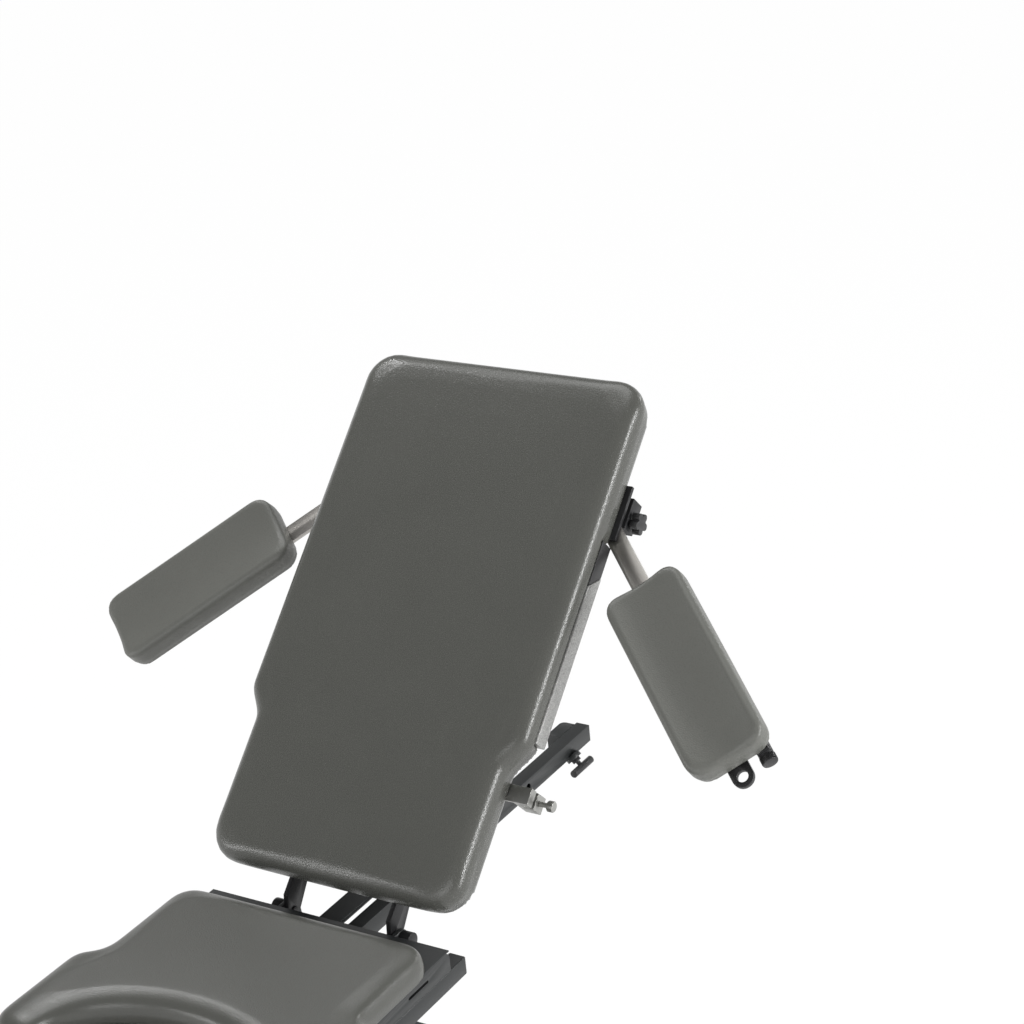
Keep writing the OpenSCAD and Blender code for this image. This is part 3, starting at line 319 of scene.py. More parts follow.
def drawnAluminium(name, tint):
    finish = Finish(name)
    lines = finish.noise(1, 4.0, finish.stretched(700, 700, 7))
    handling = finish.noise(17, 6.0)
    return finish.done(
        Base_Color=finish.mixed(lines * 0.5 + handling * 0.3, tint, shade(tint, 0.74)),
        Metallic=0.9,
        Roughness=0.34 + lines * 0.1 + handling * 0.08,
        Normal=finish.bump(lines, 0.08, 0.0004),
    )


def hammeredSilver(name, tint):
    finish = Finish(name)
    dimples = finish.cells(300, "SMOOTH_F1")
    veins = finish.cells(300, "DISTANCE_TO_EDGE").clamped(0.0, 0.14)
    flakes = finish.noise(1800, 2.0)
    base = finish.mixed(veins, shade(tint, 0.5), tint)
    base = finish.mixed(flakes.clamped(0.45, 0.7) * 0.5, base, shade(tint, 1.25))
    return finish.done(
        Base_Color=base,
        Metallic=0.55,
        Roughness=0.3 + flakes * 0.18,
        Normal=finish.bump(dimples, 0.5, 0.0012),
    )


def stainedPlywood(name, tint):
    finish = Finish(name)
    finish.followPiece()
    grain = finish.noise(1, 6.0, finish.stretched(210, 9, 210))
    layers = {"Vector": finish.place, "Scale": 105, "Distortion": 0.4}
    plies = finish.add("TexWave", {"bands_direction": "Z"}, layers, output="Fac")
    pores = finish.noise(1, 2.0, finish.stretched(900, 60, 900)).clamped(0.58, 0.7)
    base = finish.mixed(grain, shade(tint, 0.6), shade(tint, 1.5))
    base = finish.mixed(plies * 0.3, base, shade(tint, 0.5))
    return finish.done(
        Base_Color=finish.mixed(pores * 0.6, base, shade(tint, 0.3)),
        Roughness=0.55 + grain * 0.15,
        Normal=finish.bump(grain * 0.6 - pores * 0.5, 0.25, 0.0006),
    )


upholsteryTint = (0.060, 0.061, 0.055)
finishes = {
    "frame_paint": powderCoat("anthraciteCoat", (0.014, 0.0158, 0.0162), 0.42, 0.5),
    "black_steel": powderCoat("satinBlackSteel", (0.014, 0.014, 0.015), 0.38),
    "cylinder_paint": glossPaint("cylinderBlack", (0.010, 0.010, 0.011)),
    "black_plastic": mouldedPlastic("knobPlastic", (0.013, 0.013, 0.014), 0.42),
    "foot_rubber": rubber("footRubber", (0.016, 0.016, 0.016)),
    "zinc_steel": platedSteel("zincPlate", (0.47, 0.47, 0.45), 0.3, 0.35),
    "polished_steel": groundSteel("rodChrome", (0.62, 0.62, 0.61)),
    "brushed_stainless": brushedSteel("brushedStainless", (0.54, 0.52, 0.49), 0.32),
    "column_aluminium": drawnAluminium("columnAluminium", (0.46, 0.47, 0.48)),
    "hammered_silver": hammeredSilver("hammeredSilver", (0.42, 0.42, 0.41)),
    "seat_upholstery": leatherette("seatLeatherette", shade(upholsteryTint, 1.06), 0.30),
    "back_upholstery": leatherette("backLeatherette", shade(upholsteryTint, 1.09), 0.27),
    "arm_upholstery": leatherette("armLeatherette", shade(upholsteryTint, 1.56), 0.40),
    "back_board": stainedPlywood("boardPlywood", (0.085, 0.070, 0.055)),
}
slotOf = {row["node"]: row["material_slot"] for row in frame["record"]["subparts"]}
for name, node in nodes.items():
    for place in node.material_slots:
        place.material = finishes[slotOf[name]]


def seenBy(bench):
    # which rays meet a surface: the camera's, reflected ones and those through clear parts
    kinds = ("Is Camera Ray", "Is Glossy Ray", "Is Transmission Ray")
    return [bench.add("LightPath", output=kind) for kind in kinds]


def layFloor():
    half, level = studio["floorReach"] / 2, -studio["floorDrop"]
    corners = [(x * half, y * half, level) for x, y in ((-1, -1), (1, -1), (1, 1), (-1, 1))]
    mesh = bpy.data.meshes.new("studioFloor")
    mesh.from_pydata(corners, [], [(0, 1, 2, 3)])
    floor = bpy.data.objects.new("studioFloor", mesh)
    scene.collection.objects.link(floor)
    finish = Finish("studioPaper")
    byCamera, byGloss, byClear = seenBy(finish)
    anyRay = byCamera + byGloss + byClear
    seen = anyRay.calc("MINIMUM", anyRay, 1.0)
    paper = (studio["floorGrey"],) * 3
    fibre = finish.mixed(finish.noise(60, 4.0), paper, shade(paper, studio["fibreShade"]))
    matt = finish.add("BsdfDiffuse", None, {"Color": fibre})
    glow = finish.add("Emission", None, {"Color": (1, 1, 1), "Strength": 1.0})
    both = finish.add("MixShader", None, {0: seen * studio["floorGlow"], 1: matt, 2: glow})
    finish.add("OutputMaterial", None, {"Surface": both})
    mesh.materials.append(finish.material)


def paintRoom():
    world = bpy.data.worlds.new("studioRoom")
    scene.world = world
    world.use_nodes = True
    world.node_tree.nodes.clear()
    room = Bench(world.node_tree)
    byCamera, byGloss, byClear = seenBy(room)
    direction = room.add("TexCoord", output="Generated")
    height = room.add("SeparateXYZ", None, {"Vector": direction}, output="Z")
    walls = 1 - height.clamped(0.0, studio["horizon"]) * (1 - studio["ceiling"])
    soft = byGloss * walls + (1 - byGloss) * studio["ambient"]
    shown = byCamera + byClear
    strength = shown + (1 - shown) * soft
    sky = room.add("Background", None, {"Color": (1, 1, 1), "Strength": strength})
    room.add("OutputWorld", None, {"Surface": sky})


placeCamera()
for name, lamp in lamps.items():
    hangLamp(name, lamp)
layFloor()
paintRoom()
print("camera, lamps and floor placed")


# places on the chair

world = Matrix.Identity(4)
backrest = {"hinge": (0, -0.100, 0.545), "angle": math.radians(43.5), "boardStart": (0, 0.038, 0.033)}
backTurn = (Matrix.Translation(backrest["hinge"]) @ Matrix.Rotation(backrest["angle"], 4, "X")
            @ Matrix.Translation(backrest["boardStart"]))
armrest = {"out": 0.200, "up": 0.690, "angle": math.radians(135.6)}
mergeGap = 0.00001


def armTurn(side):
    # the frame of an armrest at rest: 1 is the right one, -1 the left one
    pivot = Matrix.Translation((side * armrest["out"], armrest["up"], 0))
    return backTurn @ pivot @ Matrix.Rotation(-side * armrest["angle"], 4, "Z")


def newPiece(name, mesh, body, slotName, *replaced):
    piece = bpy.data.objects.new(name, mesh)
    scene.collection.objects.link(piece)
    mesh.materials.clear()
    mesh.materials.append(finishes[slotName])
    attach(piece, body)
    if replaced:
        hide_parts(*replaced)
    return piece


def mergedCopy(*names):
    # the loose triangles of CAD nodes, joined at their shared points
    shape = bmesh.new()
    for name in names:
        shape.from_mesh(nodes[name].data)
    bmesh.ops.remove_doubles(shape, verts=shape.verts, dist=mergeGap)
    return shape


def evaluated(piece):
    graph = bpy.context.evaluated_depsgraph_get()
    return bpy.data.meshes.new_from_object(piece.evaluated_get(graph))


def points(mesh):
    spots = np.empty(len(mesh.vertices) * 3)
    mesh.vertices.foreach_get("co", spots)
    return spots.reshape(-1, 3)


def setPoints(mesh, spots):
    mesh.vertices.foreach_set("co", np.asarray(spots, dtype=np.float64).ravel())
    mesh.update()


def tagAlong(mesh, place):
    # each point's place in the piece's own frame, for finishes that follow it
    spots = points(mesh)
    inside = np.array(place.inverted())
    local = spots @ inside[:3, :3].T + inside[:3, 3]
    tag = mesh.attributes.new("along", "FLOAT_VECTOR", "POINT")
    tag.data.foreach_set("vector", local.astype(np.float32).ravel())


def neighbourMean(mesh, values, steps):
    # moves each point's value by each step's share towards the mean of its neighbours
    ends = np.empty(len(mesh.edges) * 2, dtype=np.int64)
    mesh.edges.foreach_get("vertices", ends)
    near, far = np.concatenate((ends[0::2], ends[1::2])), np.concatenate((ends[1::2], ends[0::2]))
    count = np.bincount(near, minlength=len(values)).astype(float)
    for step in steps:
        for axis in range(3):
            total = np.bincount(near, weights=values[far, axis], minlength=len(values))
            values[:, axis] += step * (total / count - values[:, axis])
    return values


def relaxed(mesh, turns):
    # evens the grid's ripples; the step back out keeps the form from shrinking
    inward, outward = 0.5, -0.51
    setPoints(mesh, neighbourMean(mesh, points(mesh), [inward, outward] * turns))


def eased(share):
    # a share from 0 to 1 with soft ends
    return share * share * (3 - 2 * share)


# padded pieces

cushions = {
    "backPad": {"node": "back_cushion", "with": "back_board", "body": "back", "slot": "back_upholstery",
                "place": backTurn, "voxel": 0.0040, "shrink": 0.0010, "pressure": 2.4, "cap": 0.0016,
                "held": 0.018, "fill": 0.9, "roll": {"turns": 16, "from": 0.026, "over": -0.012}},
    "seatPad": {"node": "seat_cushion", "body": "seat", "slot": "seat_upholstery",
                "place": world, "voxel": 0.0036, "shrink": 0.0006, "pressure": 2.4, "cap": 0.0014,
                "held": 0.010, "fill": 0.9, "roll": {"turns": 30, "from": 0.008, "over": 0.016}},
    "armPadRight": {"node": "arm_right_pad", "body": "arm_right", "slot": "arm_upholstery",
                    "place": armTurn(1), "voxel": 0.0028, "shrink": 0.0004, "pressure": 1.4, "cap": 0.0014,
                    "held": 0.010, "fill": 0.95},
    "armPadLeft": {"node": "arm_left_pad", "body": "arm_left", "slot": "arm_upholstery",
                   "place": armTurn(-1), "voxel": 0.0028, "shrink": 0.0004, "pressure": 1.4, "cap": 0.0014,
                   "held": 0.010, "fill": 0.95},
}
foam = {
    "quality": 4, "mass": 0.4, "use_pressure": True, "tension_stiffness": 22, "compression_stiffness": 22,
    "bending_stiffness": 4, "vertex_group_mass": "held",
}
swelling = {"frames": 20, "evenTurns": 30, "evenStep": 0.6}
backHalf = {"low": 0.230, "high": 0.2575, "shoulder": 0.222, "rise": 0.059, "length": 0.875, "corner": 0.052}
coverBorder = {"width": 0.034, "slope": 0.012, "proud": 0.0007, "sunk": 0.006, "below": 0.004, "rim": 0.003}


def halfWidth(along):
    # the backrest's half width at a place along it: narrow below, wide above the shoulder
    climb = np.clip((along - backHalf["shoulder"]) / backHalf["rise"], 0, 1)
    return backHalf["low"] + (backHalf["high"] - backHalf["low"]) * eased(climb)


def depthInside(local):
    # how far each point of the backrest lies inside its outline
    middle = backHalf["length"] / 2
    across = np.abs(local[:, 0]) - halfWidth(local[:, 1])
    over = np.stack((across, np.abs(local[:, 1] - middle) - middle), 1) + backHalf["corner"]
    outside = np.linalg.norm(np.maximum(over, 0), axis=1)
    return backHalf["corner"] - np.where(outside > 0, outside, over.max(axis=1))


def foldUnder(mesh):
    # the cover's edge is turned in behind the board, whose middle stays bare
    spots = points(mesh)
    depth = depthInside(spots)
    share = np.clip((depth - coverBorder["width"]) / coverBorder["slope"], 0, 1)
    level = -coverBorder["proud"] + (coverBorder["proud"] + coverBorder["sunk"]) * eased(share)
    under = (spots[:, 2] < coverBorder["below"]) & (depth > coverBorder["rim"])
    spots[under, 2] = level[under]
    setPoints(mesh, spots)


def softenRim(mesh, roll):
    # the cover rolls over the upper edges more softly than the solid does, or over the lower ones
    # where "over" is negative
    spots = points(mesh)
    height = spots[:, 2] - spots[:, 2].min()
    share = np.clip((height - roll["from"]) / roll["over"], 0, 1)[:, None]
    soft = neighbourMean(mesh, spots.copy(), [0.5] * roll["turns"])
    setPoints(mesh, spots + (soft - spots) * share)


def swell(piece, pad):
    # foam pushes the cover out; the underside stays flat on its board
    mesh = piece.data
    rest = points(mesh)
    low = rest[:, 2].min()
    pinned = piece.vertex_groups.new(name="held")
    for index in np.nonzero(rest[:, 2] < low + pad["held"])[0]:
        pinned.add([int(index)], 1.0, "REPLACE")
    cloth = piece.modifiers.new("foam", "CLOTH")
    for key, value in foam.items():
        setattr(cloth.settings, key, value)
    cloth.settings.uniform_pressure_force = pad["pressure"]
    cloth.settings.effector_weights.gravity = 0
    cloth.collision_settings.use_collision = False
    for number in range(1, swelling["frames"] + 1):
        scene.frame_set(number)
    swollen = points(evaluated(piece))
    piece.modifiers.clear()
    scene.frame_set(1)
    motion = neighbourMean(mesh, swollen - rest, [swelling["evenStep"]] * swelling["evenTurns"])
    reach = np.linalg.norm(motion, axis=1, keepdims=True)
    motion *= np.minimum(1, pad["cap"] / np.maximum(reach, 1e-9))
    setPoints(mesh, rest + motion)
    most = round(float(reach.max()) * 1000, 1)
    print("  swollen by up to", most, "mm, capped at", pad["cap"] * 1000)


def makeCushion(name, pad):
    shape = mergedCopy(pad["node"], *([pad["with"]] if "with" in pad else []))
    shape.transform(pad["place"].inverted())
    shape.normal_update()
    for vertex in shape.verts:
        vertex.co -= vertex.normal * pad["shrink"]
    mesh = bpy.data.meshes.new(name)
    shape.to_mesh(mesh)
    shape.free()
    block = bpy.data.objects.new(name + "Block", mesh)
    scene.collection.objects.link(block)
    remesh = block.modifiers.new("grid", "REMESH")
    remesh.mode = "VOXEL"
    remesh.voxel_size = pad["voxel"]
    fine = evaluated(block)
    fine.name = name
    block.modifiers.clear()
    block.data = fine
    relaxed(fine, 2)
    if "roll" in pad:
        softenRim(fine, pad["roll"])
    floorHeight = points(fine)[:, 2].min()
    swell(block, pad)
    relaxed(fine, 1)
    spots = points(fine)
    spots[:, 2] = np.maximum(spots[:, 2], floorHeight)
    setPoints(fine, spots)
    if "with" in pad:
        foldUnder(fine)
    fine.transform(pad["place"])
    fine.shade_smooth()
    bpy.data.objects.remove(block)
    piece = newPiece(name, fine, pad["body"], pad["slot"], pad["node"])
    print(name, "made with", len(fine.vertices), "points")


for name, pad in cushions.items():
    makeCushion(name, pad)
print("padded pieces done")


# rigid pieces get the small radius that their edges really have

edgeRadius = {
    "base_spine": 0.003, "cross_feet": 0.003, "foot_caps": 0.0015, "levelling_feet": 0.0008,
    "column_flange": 0.0012, "column_outer": 0.003, "column_middle": 0.0025, "column_inner": 0.002,
    "collar_outer": 0.0012, "collar_middle": 0.0012, "pump_block": 0.002, "tilt_head": 0.0012,
    "pedal_lever": 0.0015, "pedal_pad": 0.002, "tilt_cylinder": 0.0008, "seat_rails": 0.0022,
    "cross_rear": 0.0022, "cross_front": 0.0022, "rear_beam": 0.0022, "carrier_bar": 0.0015,
    "beam_stop": 0.0022, "frame_ears": 0.0012, "hinge_pins": 0.0006, "tilt_pin": 0.0006, "seat_pan": 0.0006,
    "back_cylinder": 0.0008, "cylinder_mounts": 0.001, "leg_clamps": 0.0016, "bowl_runners": 0.0005,
    "lever_brackets": 0.0007, "leg_screw_left": 0.0012, "leg_screw_right": 0.0012, "drain_bowl": 0.0006,
    "tee_screw": 0.0012, "back_release": 0.0012, "tilt_release": 0.0012, "back_board": 0.001,
    "back_frame": 0.002, "hinge_lugs": 0.001, "side_strips": 0.001, "strip_blocks": 0.001,
    "arm_brackets": 0.0012, "arm_pivots": 0.0006, "side_clamp": 0.0012, "clamp_screw": 0.0005,
    "arm_right_bar": 0.0009, "arm_left_bar": 0.0009, "arm_right_loop": 0.0012, "knob_right": 0.0014,
    "knob_left": 0.0014,
}
edgeCut = {"segments": 2, "sharpFrom": math.radians(34), "flatBelow": math.radians(0.6)}
boardDrawIn = 0.0085
bodies = frame["record"]["behaviour"]["bodies"]
bodyOf = {member: body for body, members in bodies.items() for member in members}
ownFrame = {
    "arm_right_bar": armTurn(1), "arm_left_bar": armTurn(-1), "back_board": backTurn, "side_strips": backTurn,
}


def roundedPiece(name, radius):
    shape = mergedCopy(name)
    bmesh.ops.dissolve_limit(shape, angle_limit=edgeCut["flatBelow"], use_dissolve_boundaries=False,
                             verts=shape.verts, edges=shape.edges)
    if name == "back_board":
        # a little smaller than its solid, because the cover wraps its edge
        across = 1 - boardDrawIn / backHalf["high"]
        along = 1 - boardDrawIn / (backHalf["length"] / 2)
        middle = backTurn @ Matrix.Translation((0, backHalf["length"] / 2, 0))
        shape.transform(middle @ Matrix.Diagonal((across, along, 1, 1)) @ middle.inverted())
    mesh = bpy.data.meshes.new(name + "_round")
    shape.to_mesh(mesh)
    shape.free()
    block = bpy.data.objects.new(name + "_block", mesh)
    scene.collection.objects.link(block)
    mesh.shade_smooth()
    bevel = block.modifiers.new("edge", "BEVEL")
    bevel.width = radius
    bevel.segments = edgeCut["segments"]
    bevel.limit_method = "ANGLE"
    bevel.angle_limit = edgeCut["sharpFrom"]
    bevel.harden_normals = True
    rounded = evaluated(block)
    bpy.data.objects.remove(block)
    rounded.name = name + "_round"
    tagAlong(rounded, ownFrame.get(name, world))
    newPiece(name + "_round", rounded, bodyOf[name], slotOf[name], name)


for name, radius in edgeRadius.items():
    roundedPiece(name, radius)
print("edges rounded on", len(edgeRadius), "pieces")


# small repeated work: fasteners, weld beads and ribs, by Geometry Nodes


class Pattern(Bench):
    # a tree with named inputs that sets something out on spots
    def __init__(self, name, inputs):
        group = bpy.data.node_groups.new(name, "GeometryNodeTree")
        super().__init__(group)
        panel = group.interface
        panel.new_socket(name="Spots", in_out="INPUT", socket_type="NodeSocketGeometry")
        for label, start in inputs.items():
            kind = "NodeSocketInt" if isinstance(start, int) else "NodeSocketFloat"
            panel.new_socket(name=label, in_out="INPUT", socket_type=kind).default_value = start
        panel.new_socket(name="Finish", in_out="INPUT", socket_type="NodeSocketMaterial")
        panel.new_socket(name="Made", in_out="OUTPUT", socket_type="NodeSocketGeometry")
        self.entry = group.nodes.new("NodeGroupInput")
        self.exit = group.nodes.new("NodeGroupOutput")

    def value(self, label):
        return Socket(self, self.entry.outputs[label])

    def vector(self, x, y, z):
        return self.add("CombineXYZ", None, {"X": x, "Y": y, "Z": z})

    def moved(self, shape, x, y, z):
        sockets = {"Geometry": shape, "Translation": self.vector(x, y, z)}
        return self.add("GeometryNodeTransform", None, sockets)

    def joined(self, *shapes):
        join = self.add("GeometryNodeJoinGeometry")
        for shape in shapes:
            self.tree.links.new(shape.port, join.port.node.inputs[0])
        return join

    def turned(self):
        # Z along each spot's facing, X along its run
        stored = {"data_type": "FLOAT_VECTOR"}
        facing, run = (self.add("GeometryNodeInputNamedAttribute", stored, {"Name": label})
                       for label in ("facing", "run"))
        upright = self.add("FunctionNodeAlignRotationToVector", {"axis": "Z"}, {"Vector": facing})
        axes = {"axis": "X", "pivot_axis": "Z"}
        return self.add("FunctionNodeAlignRotationToVector", axes, {"Rotation": upright, "Vector": run})

    def setOut(self, shape):
        at = {"Points": self.value("Spots"), "Instance": shape, "Rotation": self.turned()}
        self.close(self.add("GeometryNodeInstanceOnPoints", None, at))

    def close(self, geometry):
        whole = self.add("GeometryNodeRealizeInstances", None, {"Geometry": geometry})
        paint = {"Geometry": whole, "Material": self.value("Finish")}
        painted = self.add("GeometryNodeSetMaterial", None, paint)
        self.tree.links.new(painted.port, self.exit.inputs[0])

    def run(self, name, spots, sizes, finish, lines=()):
        mesh = bpy.data.meshes.new(name + "Spots")
        mesh.from_pydata([spot[0] for spot in spots], lines, [])
        for column, label in ((1, "facing"), (2, "run")):
            tag = mesh.attributes.new(label, "FLOAT_VECTOR", "POINT")
            tag.data.foreach_set("vector", [part for spot in spots for part in spot[column]])
        holder = bpy.data.objects.new(name + "Spots", mesh)
        scene.collection.objects.link(holder)
        modifier = holder.modifiers.new("setOut", "NODES")
        modifier.node_group = self.tree
        given = {**sizes, "Finish": finish}
        for item in self.tree.interface.items_tree:
            if item.in_out == "INPUT" and item.name in given:
                modifier[item.identifier] = given[item.name]
        made = evaluated(holder)
        made.name = name
        bpy.data.objects.remove(holder)
        return made


def screwPattern():
    # a washer with a tapered head on it; a drive recess where one is wanted
    tree = Pattern("screwSet", {"Head Sides": 24, "Head Radius": 0.005, "Head Taper": 0.85,
                                "Head Height": 0.004, "Drive Radius": 0.002,
                                "Washer Radius": 0.007, "Washer Height": 0.001})
    height, thick, drive = tree.value("Head Height"), tree.value("Washer Height"), tree.value("Drive Radius")
    leastDrive, wantedDrive = 0.0002, 0.0003
    disc = {"Vertices": 24, "Radius": tree.value("Washer Radius"), "Depth": thick}
    washer = tree.add("GeometryNodeMeshCylinder", None, disc, "Mesh")
    cone = {"Vertices": tree.value("Head Sides"), "Radius Bottom": tree.value("Head Radius"), "Depth": height,
            "Radius Top": tree.value("Head Radius") * tree.value("Head Taper")}
    head = tree.moved(tree.add("GeometryNodeMeshCone", None, cone, "Mesh"), 0.0, 0.0, thick)
    hexagon = {"Vertices": 6, "Radius": drive.calc("MAXIMUM", drive, leastDrive), "Depth": height}
    cutter = tree.moved(tree.add("GeometryNodeMeshCylinder", None, hexagon, "Mesh"), 0.0, 0.0, thick + height)
    cut = {"operation": "DIFFERENCE", "solver": "EXACT"}
    recessed = tree.add("GeometryNodeMeshBoolean", cut, {"Mesh 1": head, "Mesh 2": cutter}, "Mesh")
    choice = {"Switch": drive.calc("GREATER_THAN", drive, wantedDrive), "False": head, "True": recessed}
    chosen = tree.add("GeometryNodeSwitch", {"input_type": "GEOMETRY"}, choice)
    tree.setOut(tree.joined(tree.moved(washer, 0.0, 0.0, thick * 0.5), chosen))
    return tree


def ribPattern():
    # a row of straight ribs about each spot, standing on its face
    tree = Pattern("ribRow", {"Count": 8, "Spacing": 0.006,
                              "Rib Length": 0.05, "Rib Width": 0.002, "Rib Height": 0.001})
    count, spacing, height = tree.value("Count"), tree.value("Spacing"), tree.value("Rib Height")
    size = tree.vector(tree.value("Rib Width"), tree.value("Rib Length"), height)
    bar = tree.add("GeometryNodeMeshCube", None, {"Size": size}, "Mesh")
    start = tree.vector((count - 1) * spacing * -0.5, 0.0, height * 0.5)
    line = {"Count": count, "Start Location": start, "Offset": tree.vector(spacing, 0.0, 0.0)}
    row = tree.add("GeometryNodeMeshLine", None, line, "Mesh")
    tree.setOut(tree.add("GeometryNodeInstanceOnPoints", None, {"Points": row, "Instance": bar}))
    return tree


def knurlPattern():
    # ribs round a turned part, along its axis
    tree = Pattern("knurlRing", {"Count": 24, "Ring Radius": 0.008,
                                 "Rib Length": 0.01, "Rib Width": 0.001, "Rib Height": 0.001})
    circle = {"Vertices": tree.value("Count"), "Radius": tree.value("Ring Radius")}
    ring = tree.add("GeometryNodeMeshCircle", None, circle, "Mesh")
    size = tree.vector(tree.value("Rib Height"), tree.value("Rib Width"), tree.value("Rib Length"))
    bar = tree.add("GeometryNodeMeshCube", None, {"Size": size}, "Mesh")
    away = {"Vector": tree.add("GeometryNodeInputPosition")}
    outward = tree.add("FunctionNodeAlignRotationToVector", {"axis": "X"}, away)
    at = {"Points": ring, "Instance": bar, "Rotation": outward}
    tree.setOut(tree.add("GeometryNodeInstanceOnPoints", None, at))
    return tree


def weldPattern():
    # overlapping scales laid along each seam line, none quite like the next
    tree = Pattern("weldBead", {"Pitch": 0.0022, "Bead Width": 0.005, "Bead Height": 0.0024, "Seed": 4})
    leastSize, mostSize, overlap = 0.86, 1.12, 2.4
    path = tree.add("GeometryNodeMeshToCurve", None, {"Mesh": tree.value("Spots")})
    pitch = {"Curve": path, "Length": tree.value("Pitch")}
    even = tree.add("GeometryNodeResampleCurve", {"mode": "LENGTH"}, pitch)
    ball = {"Segments": 8, "Rings": 5, "Radius": 0.5}
    scale = tree.add("GeometryNodeMeshUVSphere", None, ball, "Mesh")
    draw = {2: leastSize, 3: mostSize, "Seed": tree.value("Seed")}
    vary = tree.add("FunctionNodeRandomValue", {"data_type": "FLOAT"}, draw, output=1)
    width = tree.value("Bead Width") * vary
    at = {"Points": even, "Instance": scale, "Rotation": tree.turned(),
          "Scale": tree.vector(tree.value("Pitch") * overlap, width, tree.value("Bead Height") * 2.0 * vary)}
    tree.close(tree.add("GeometryNodeInstanceOnPoints", None, at))
    return tree


patterns = {"screws": screwPattern(), "ribs": ribPattern(), "knurl": knurlPattern(), "welds": weldPattern()}
print("patterns built")

hexBolt = {"Head Sides": 6, "Head Radius": 0.0065, "Head Taper": 0.94, "Head Height": 0.0042,
           "Drive Radius": 0.0, "Washer Radius": 0.0085}
panHead = {"Head Radius": 0.0048, "Head Taper": 0.72, "Head Height": 0.0030,
           "Drive Radius": 0.0018, "Washer Radius": 0.0064}
socketHead = {"Head Radius": 0.0050, "Head Taper": 0.97, "Head Height": 0.0045,
              "Drive Radius": 0.0025, "Washer Radius": 0.0056, "Washer Height": 0.0004}
staple = {"Count": 1, "Spacing": 0.0, "Rib Length": 0.0105, "Rib Width": 0.0012, "Rib Height": 0.0011}
stapleLine = {"inset": 0.023, "fromEnd": 0.06, "pitch": 0.031, "lowHalf": 0.17, "highHalf": 0.195, "side": 5}
treadRib = {"Count": 8, "Spacing": 0.009, "Rib Length": 0.052, "Rib Width": 0.0034, "Rib Height": 0.0024}
clampRing = {"Count": 30, "Ring Radius": 0.008,
             "Rib Length": 0.008, "Rib Width": 0.0009, "Rib Height": 0.0012}
knobRing = {"Count": 32, "Ring Radius": 0.012, "Rib Length": 0.010, "Rib Width": 0.0011, "Rib Height": 0.0014}
gripRing = {"Count": 20, "Ring Radius": 0.008, "Rib Length": 0.036, "Rib Width": 0.0014, "Rib Height": 0.0014}


def spot(turn, point, facing, run):
    # a place on a piece, given in the piece's own frame
    spin = turn.to_3x3()
    return tuple(turn @ Vector(point)), tuple(spin @ Vector(facing)), tuple(spin @ Vector(run))


def seams(turn, *rows):
    # the two ends of each weld, with the way that its bead faces
    spots = []
    for start, end, facing in rows:
        run = Vector(end) - Vector(start)
        spots += [spot(turn, start, facing, run), spot(turn, end, facing, run)]
    return spots


def mirrored(*rows):
    # rows for the right side, and the same for the left
    flipped = [tuple((-part[0], *part[1:]) for part in row) for row in rows]
    return list(rows) + flipped


def stapleSpots():
    # down both long edges of the board, then across its two ends
    rows = []
    inset, level, length = stapleLine["inset"], -coverBorder["proud"], backHalf["length"]
    run = length - 2 * stapleLine["fromEnd"]
    steps = int(run / stapleLine["pitch"])
    for index in range(steps + 1):
        along = stapleLine["fromEnd"] + index * run / steps
        out = float(halfWidth(along)) - inset
        rows += [spot(backTurn, (side * out, along, level), (0, 0, -1), (1, 0, 0)) for side in (-1, 1)]
    side = stapleLine["side"]
    for along, half in ((inset, stapleLine["lowHalf"]), (length - inset, stapleLine["highHalf"])):
        rows += [spot(backTurn, (half * (index / side - 1), along, level), (0, 0, -1), (0, 1, 0))
                 for index in range(2 * side + 1)]
    return rows


railScrews = [((0.081, s, -0.025), (0, 0, -1), (1, 0, 0)) for s in (0.040, 0.250, 0.460, 0.640)]
bracketScrews = [((0.1575, s, -0.048), (0, 0, -1), (1, 0, 0)) for s in (0.643, 0.707)]
clampScrews = [((x, 0.209, -0.006), (0, 0, -1), (1, 0, 0)) for x in (0.170, 0.205)]
headScrews = [((0.038, y, 0.432), (0, 0, 1), (1, 0, 0)) for y in (-0.226, -0.134)]
pumpScrews = [((-0.020, y, 0.127), (0, 0, 1), (1, 0, 0)) for y in (-0.065, -0.033)]
backSeams = mirrored(
    ((0.091, 0.012, -0.025), (0.091, 0.086, -0.025), (-1, 0, -1)),
    ((0.071, 0.062, -0.025), (0.071, 0.088, -0.025), (0, 0, -1)),
    ((0.073, 0.672, -0.025), (0.089, 0.672, -0.025), (0, -1, -1)),
    ((0.140, 0.674, -0.049), (0.140, 0.700, -0.049), (-1, 0, -1)),
    ((0.140, 0.672, -0.047), (0.140, 0.672, -0.027), (-1, -1, 0)),
)
seatSeams = mirrored(
    ((0.189, -0.203, 0.510), (0.189, -0.157, 0.510), (0, 0, -1)),
    ((0.189, -0.155, 0.512), (0.189, -0.155, 0.538), (-1, 1, 0)),
    ((0.189, -0.205, 0.512), (0.189, -0.205, 0.538), (-1, -1, 0)),
    ((0.189, -0.453, 0.510), (0.189, -0.427, 0.510), (0, 0, -1)),
    ((0.189, -0.425, 0.512), (0.189, -0.425, 0.538), (-1, 1, 0)),
    ((0.101, -0.155, 0.513), (0.101, -0.155, 0.538), (-1, 1, 0)),
    ((0.109, -0.155, 0.513), (0.109, -0.155, 0.538), (1, 1, 0)),
    ((0.064, -0.196, 0.510), (0.064, -0.164, 0.510), (1, 0, -1)),
) + [
    ((0.003, -0.155, 0.512), (0.003, -0.155, 0.538), (-1, 1, 0)),
    ((0.028, -0.155, 0.512), (0.028, -0.155, 0.538), (1, 1, 0)),
    ((0.005, -0.155, 0.510), (0.026, -0.155, 0.510), (0, 1, -1)),
]
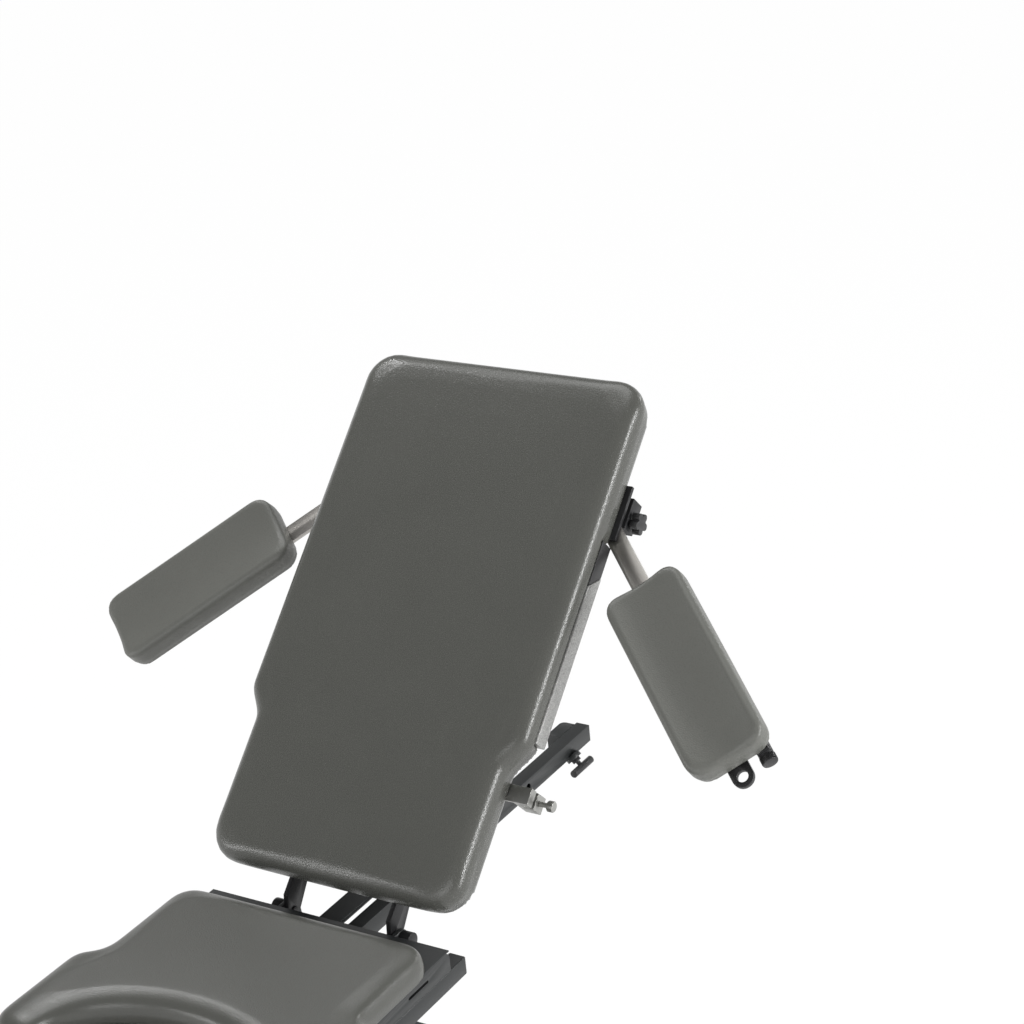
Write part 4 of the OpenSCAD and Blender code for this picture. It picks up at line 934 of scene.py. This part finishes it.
baseSeams = mirrored(
    ((0.040, -0.440, 0.027), (0.040, -0.440, 0.063), (1, 1, 0)),
    ((0.040, 0.240, 0.027), (0.040, 0.240, 0.063), (1, -1, 0)),
) + [
    ((-0.038, -0.440, 0.065), (0.038, -0.440, 0.065), (0, 0, 1)),
    ((-0.038, 0.240, 0.065), (0.038, 0.240, 0.065), (0, 0, 1)),
]


def spotsOn(turn, rows):
    return [spot(turn, *row) for row in rows]


fittings = {
    "railScrews": ("screws", spotsOn(backTurn, mirrored(*railScrews)), hexBolt, "back", "zinc_steel"),
    "bracketScrews": ("screws", spotsOn(backTurn, mirrored(*bracketScrews)), socketHead,
                      "back", "zinc_steel"),
    "clampScrews": ("screws", spotsOn(backTurn, clampScrews), panHead, "back", "zinc_steel"),
    "headScrews": ("screws", spotsOn(world, mirrored(*headScrews)), socketHead, "column_top", "zinc_steel"),
    "pumpScrews": ("screws", spotsOn(world, pumpScrews), socketHead, "base", "zinc_steel"),
    "backWelds": ("welds", seams(backTurn, *backSeams), {}, "back", "frame_paint"),
    "seatWelds": ("welds", seams(world, *seatSeams), {}, "seat", "frame_paint"),
    "baseWelds": ("welds", seams(world, *baseSeams), {}, "base", "frame_paint"),
    "coverStaples": ("ribs", stapleSpots(), staple, "back", "zinc_steel"),
    "treadRibs": ("ribs", spotsOn(world, [((0.2275, -0.049, 0.124), (0, 0, 1), (1, 0, 0))]),
                  treadRib, "pedal", "foot_rubber"),
    "clampKnurl": ("knurl", spotsOn(backTurn, [((0.279, 0.209, -0.035), (1, 0, 0), (0, 1, 0))]),
                   clampRing, "side_clamp_screw", "zinc_steel"),
    "endKnobKnurl": ("knurl", spotsOn(armTurn(1), [((-0.044, 0.527, -0.026), (0, 1, 0), (1, 0, 0))]),
                     knobRing, "arm_right", "black_plastic"),
    "backGripRibs": ("knurl", spotsOn(world, [((-0.272, -0.330, 0.500), (-1, 0, 0), (0, 1, 0))]),
                     gripRing, "back_release_lever", "black_plastic"),
    "tiltGripRibs": ("knurl", spotsOn(world, [((0.272, -0.330, 0.500), (1, 0, 0), (0, 1, 0))]),
                     gripRing, "tilt_release_lever", "black_plastic"),
}
for name, (kind, spots, sizes, body, slotName) in fittings.items():
    lines = [(index, index + 1) for index in range(0, len(spots), 2)] if kind == "welds" else ()
    mesh = patterns[kind].run(name, spots, sizes, finishes[slotName], lines)
    newPiece(name, mesh, body, slotName)
    print(" ", name, "on", len(spots), "spots:", len(mesh.polygons), "faces")
print("fittings done")
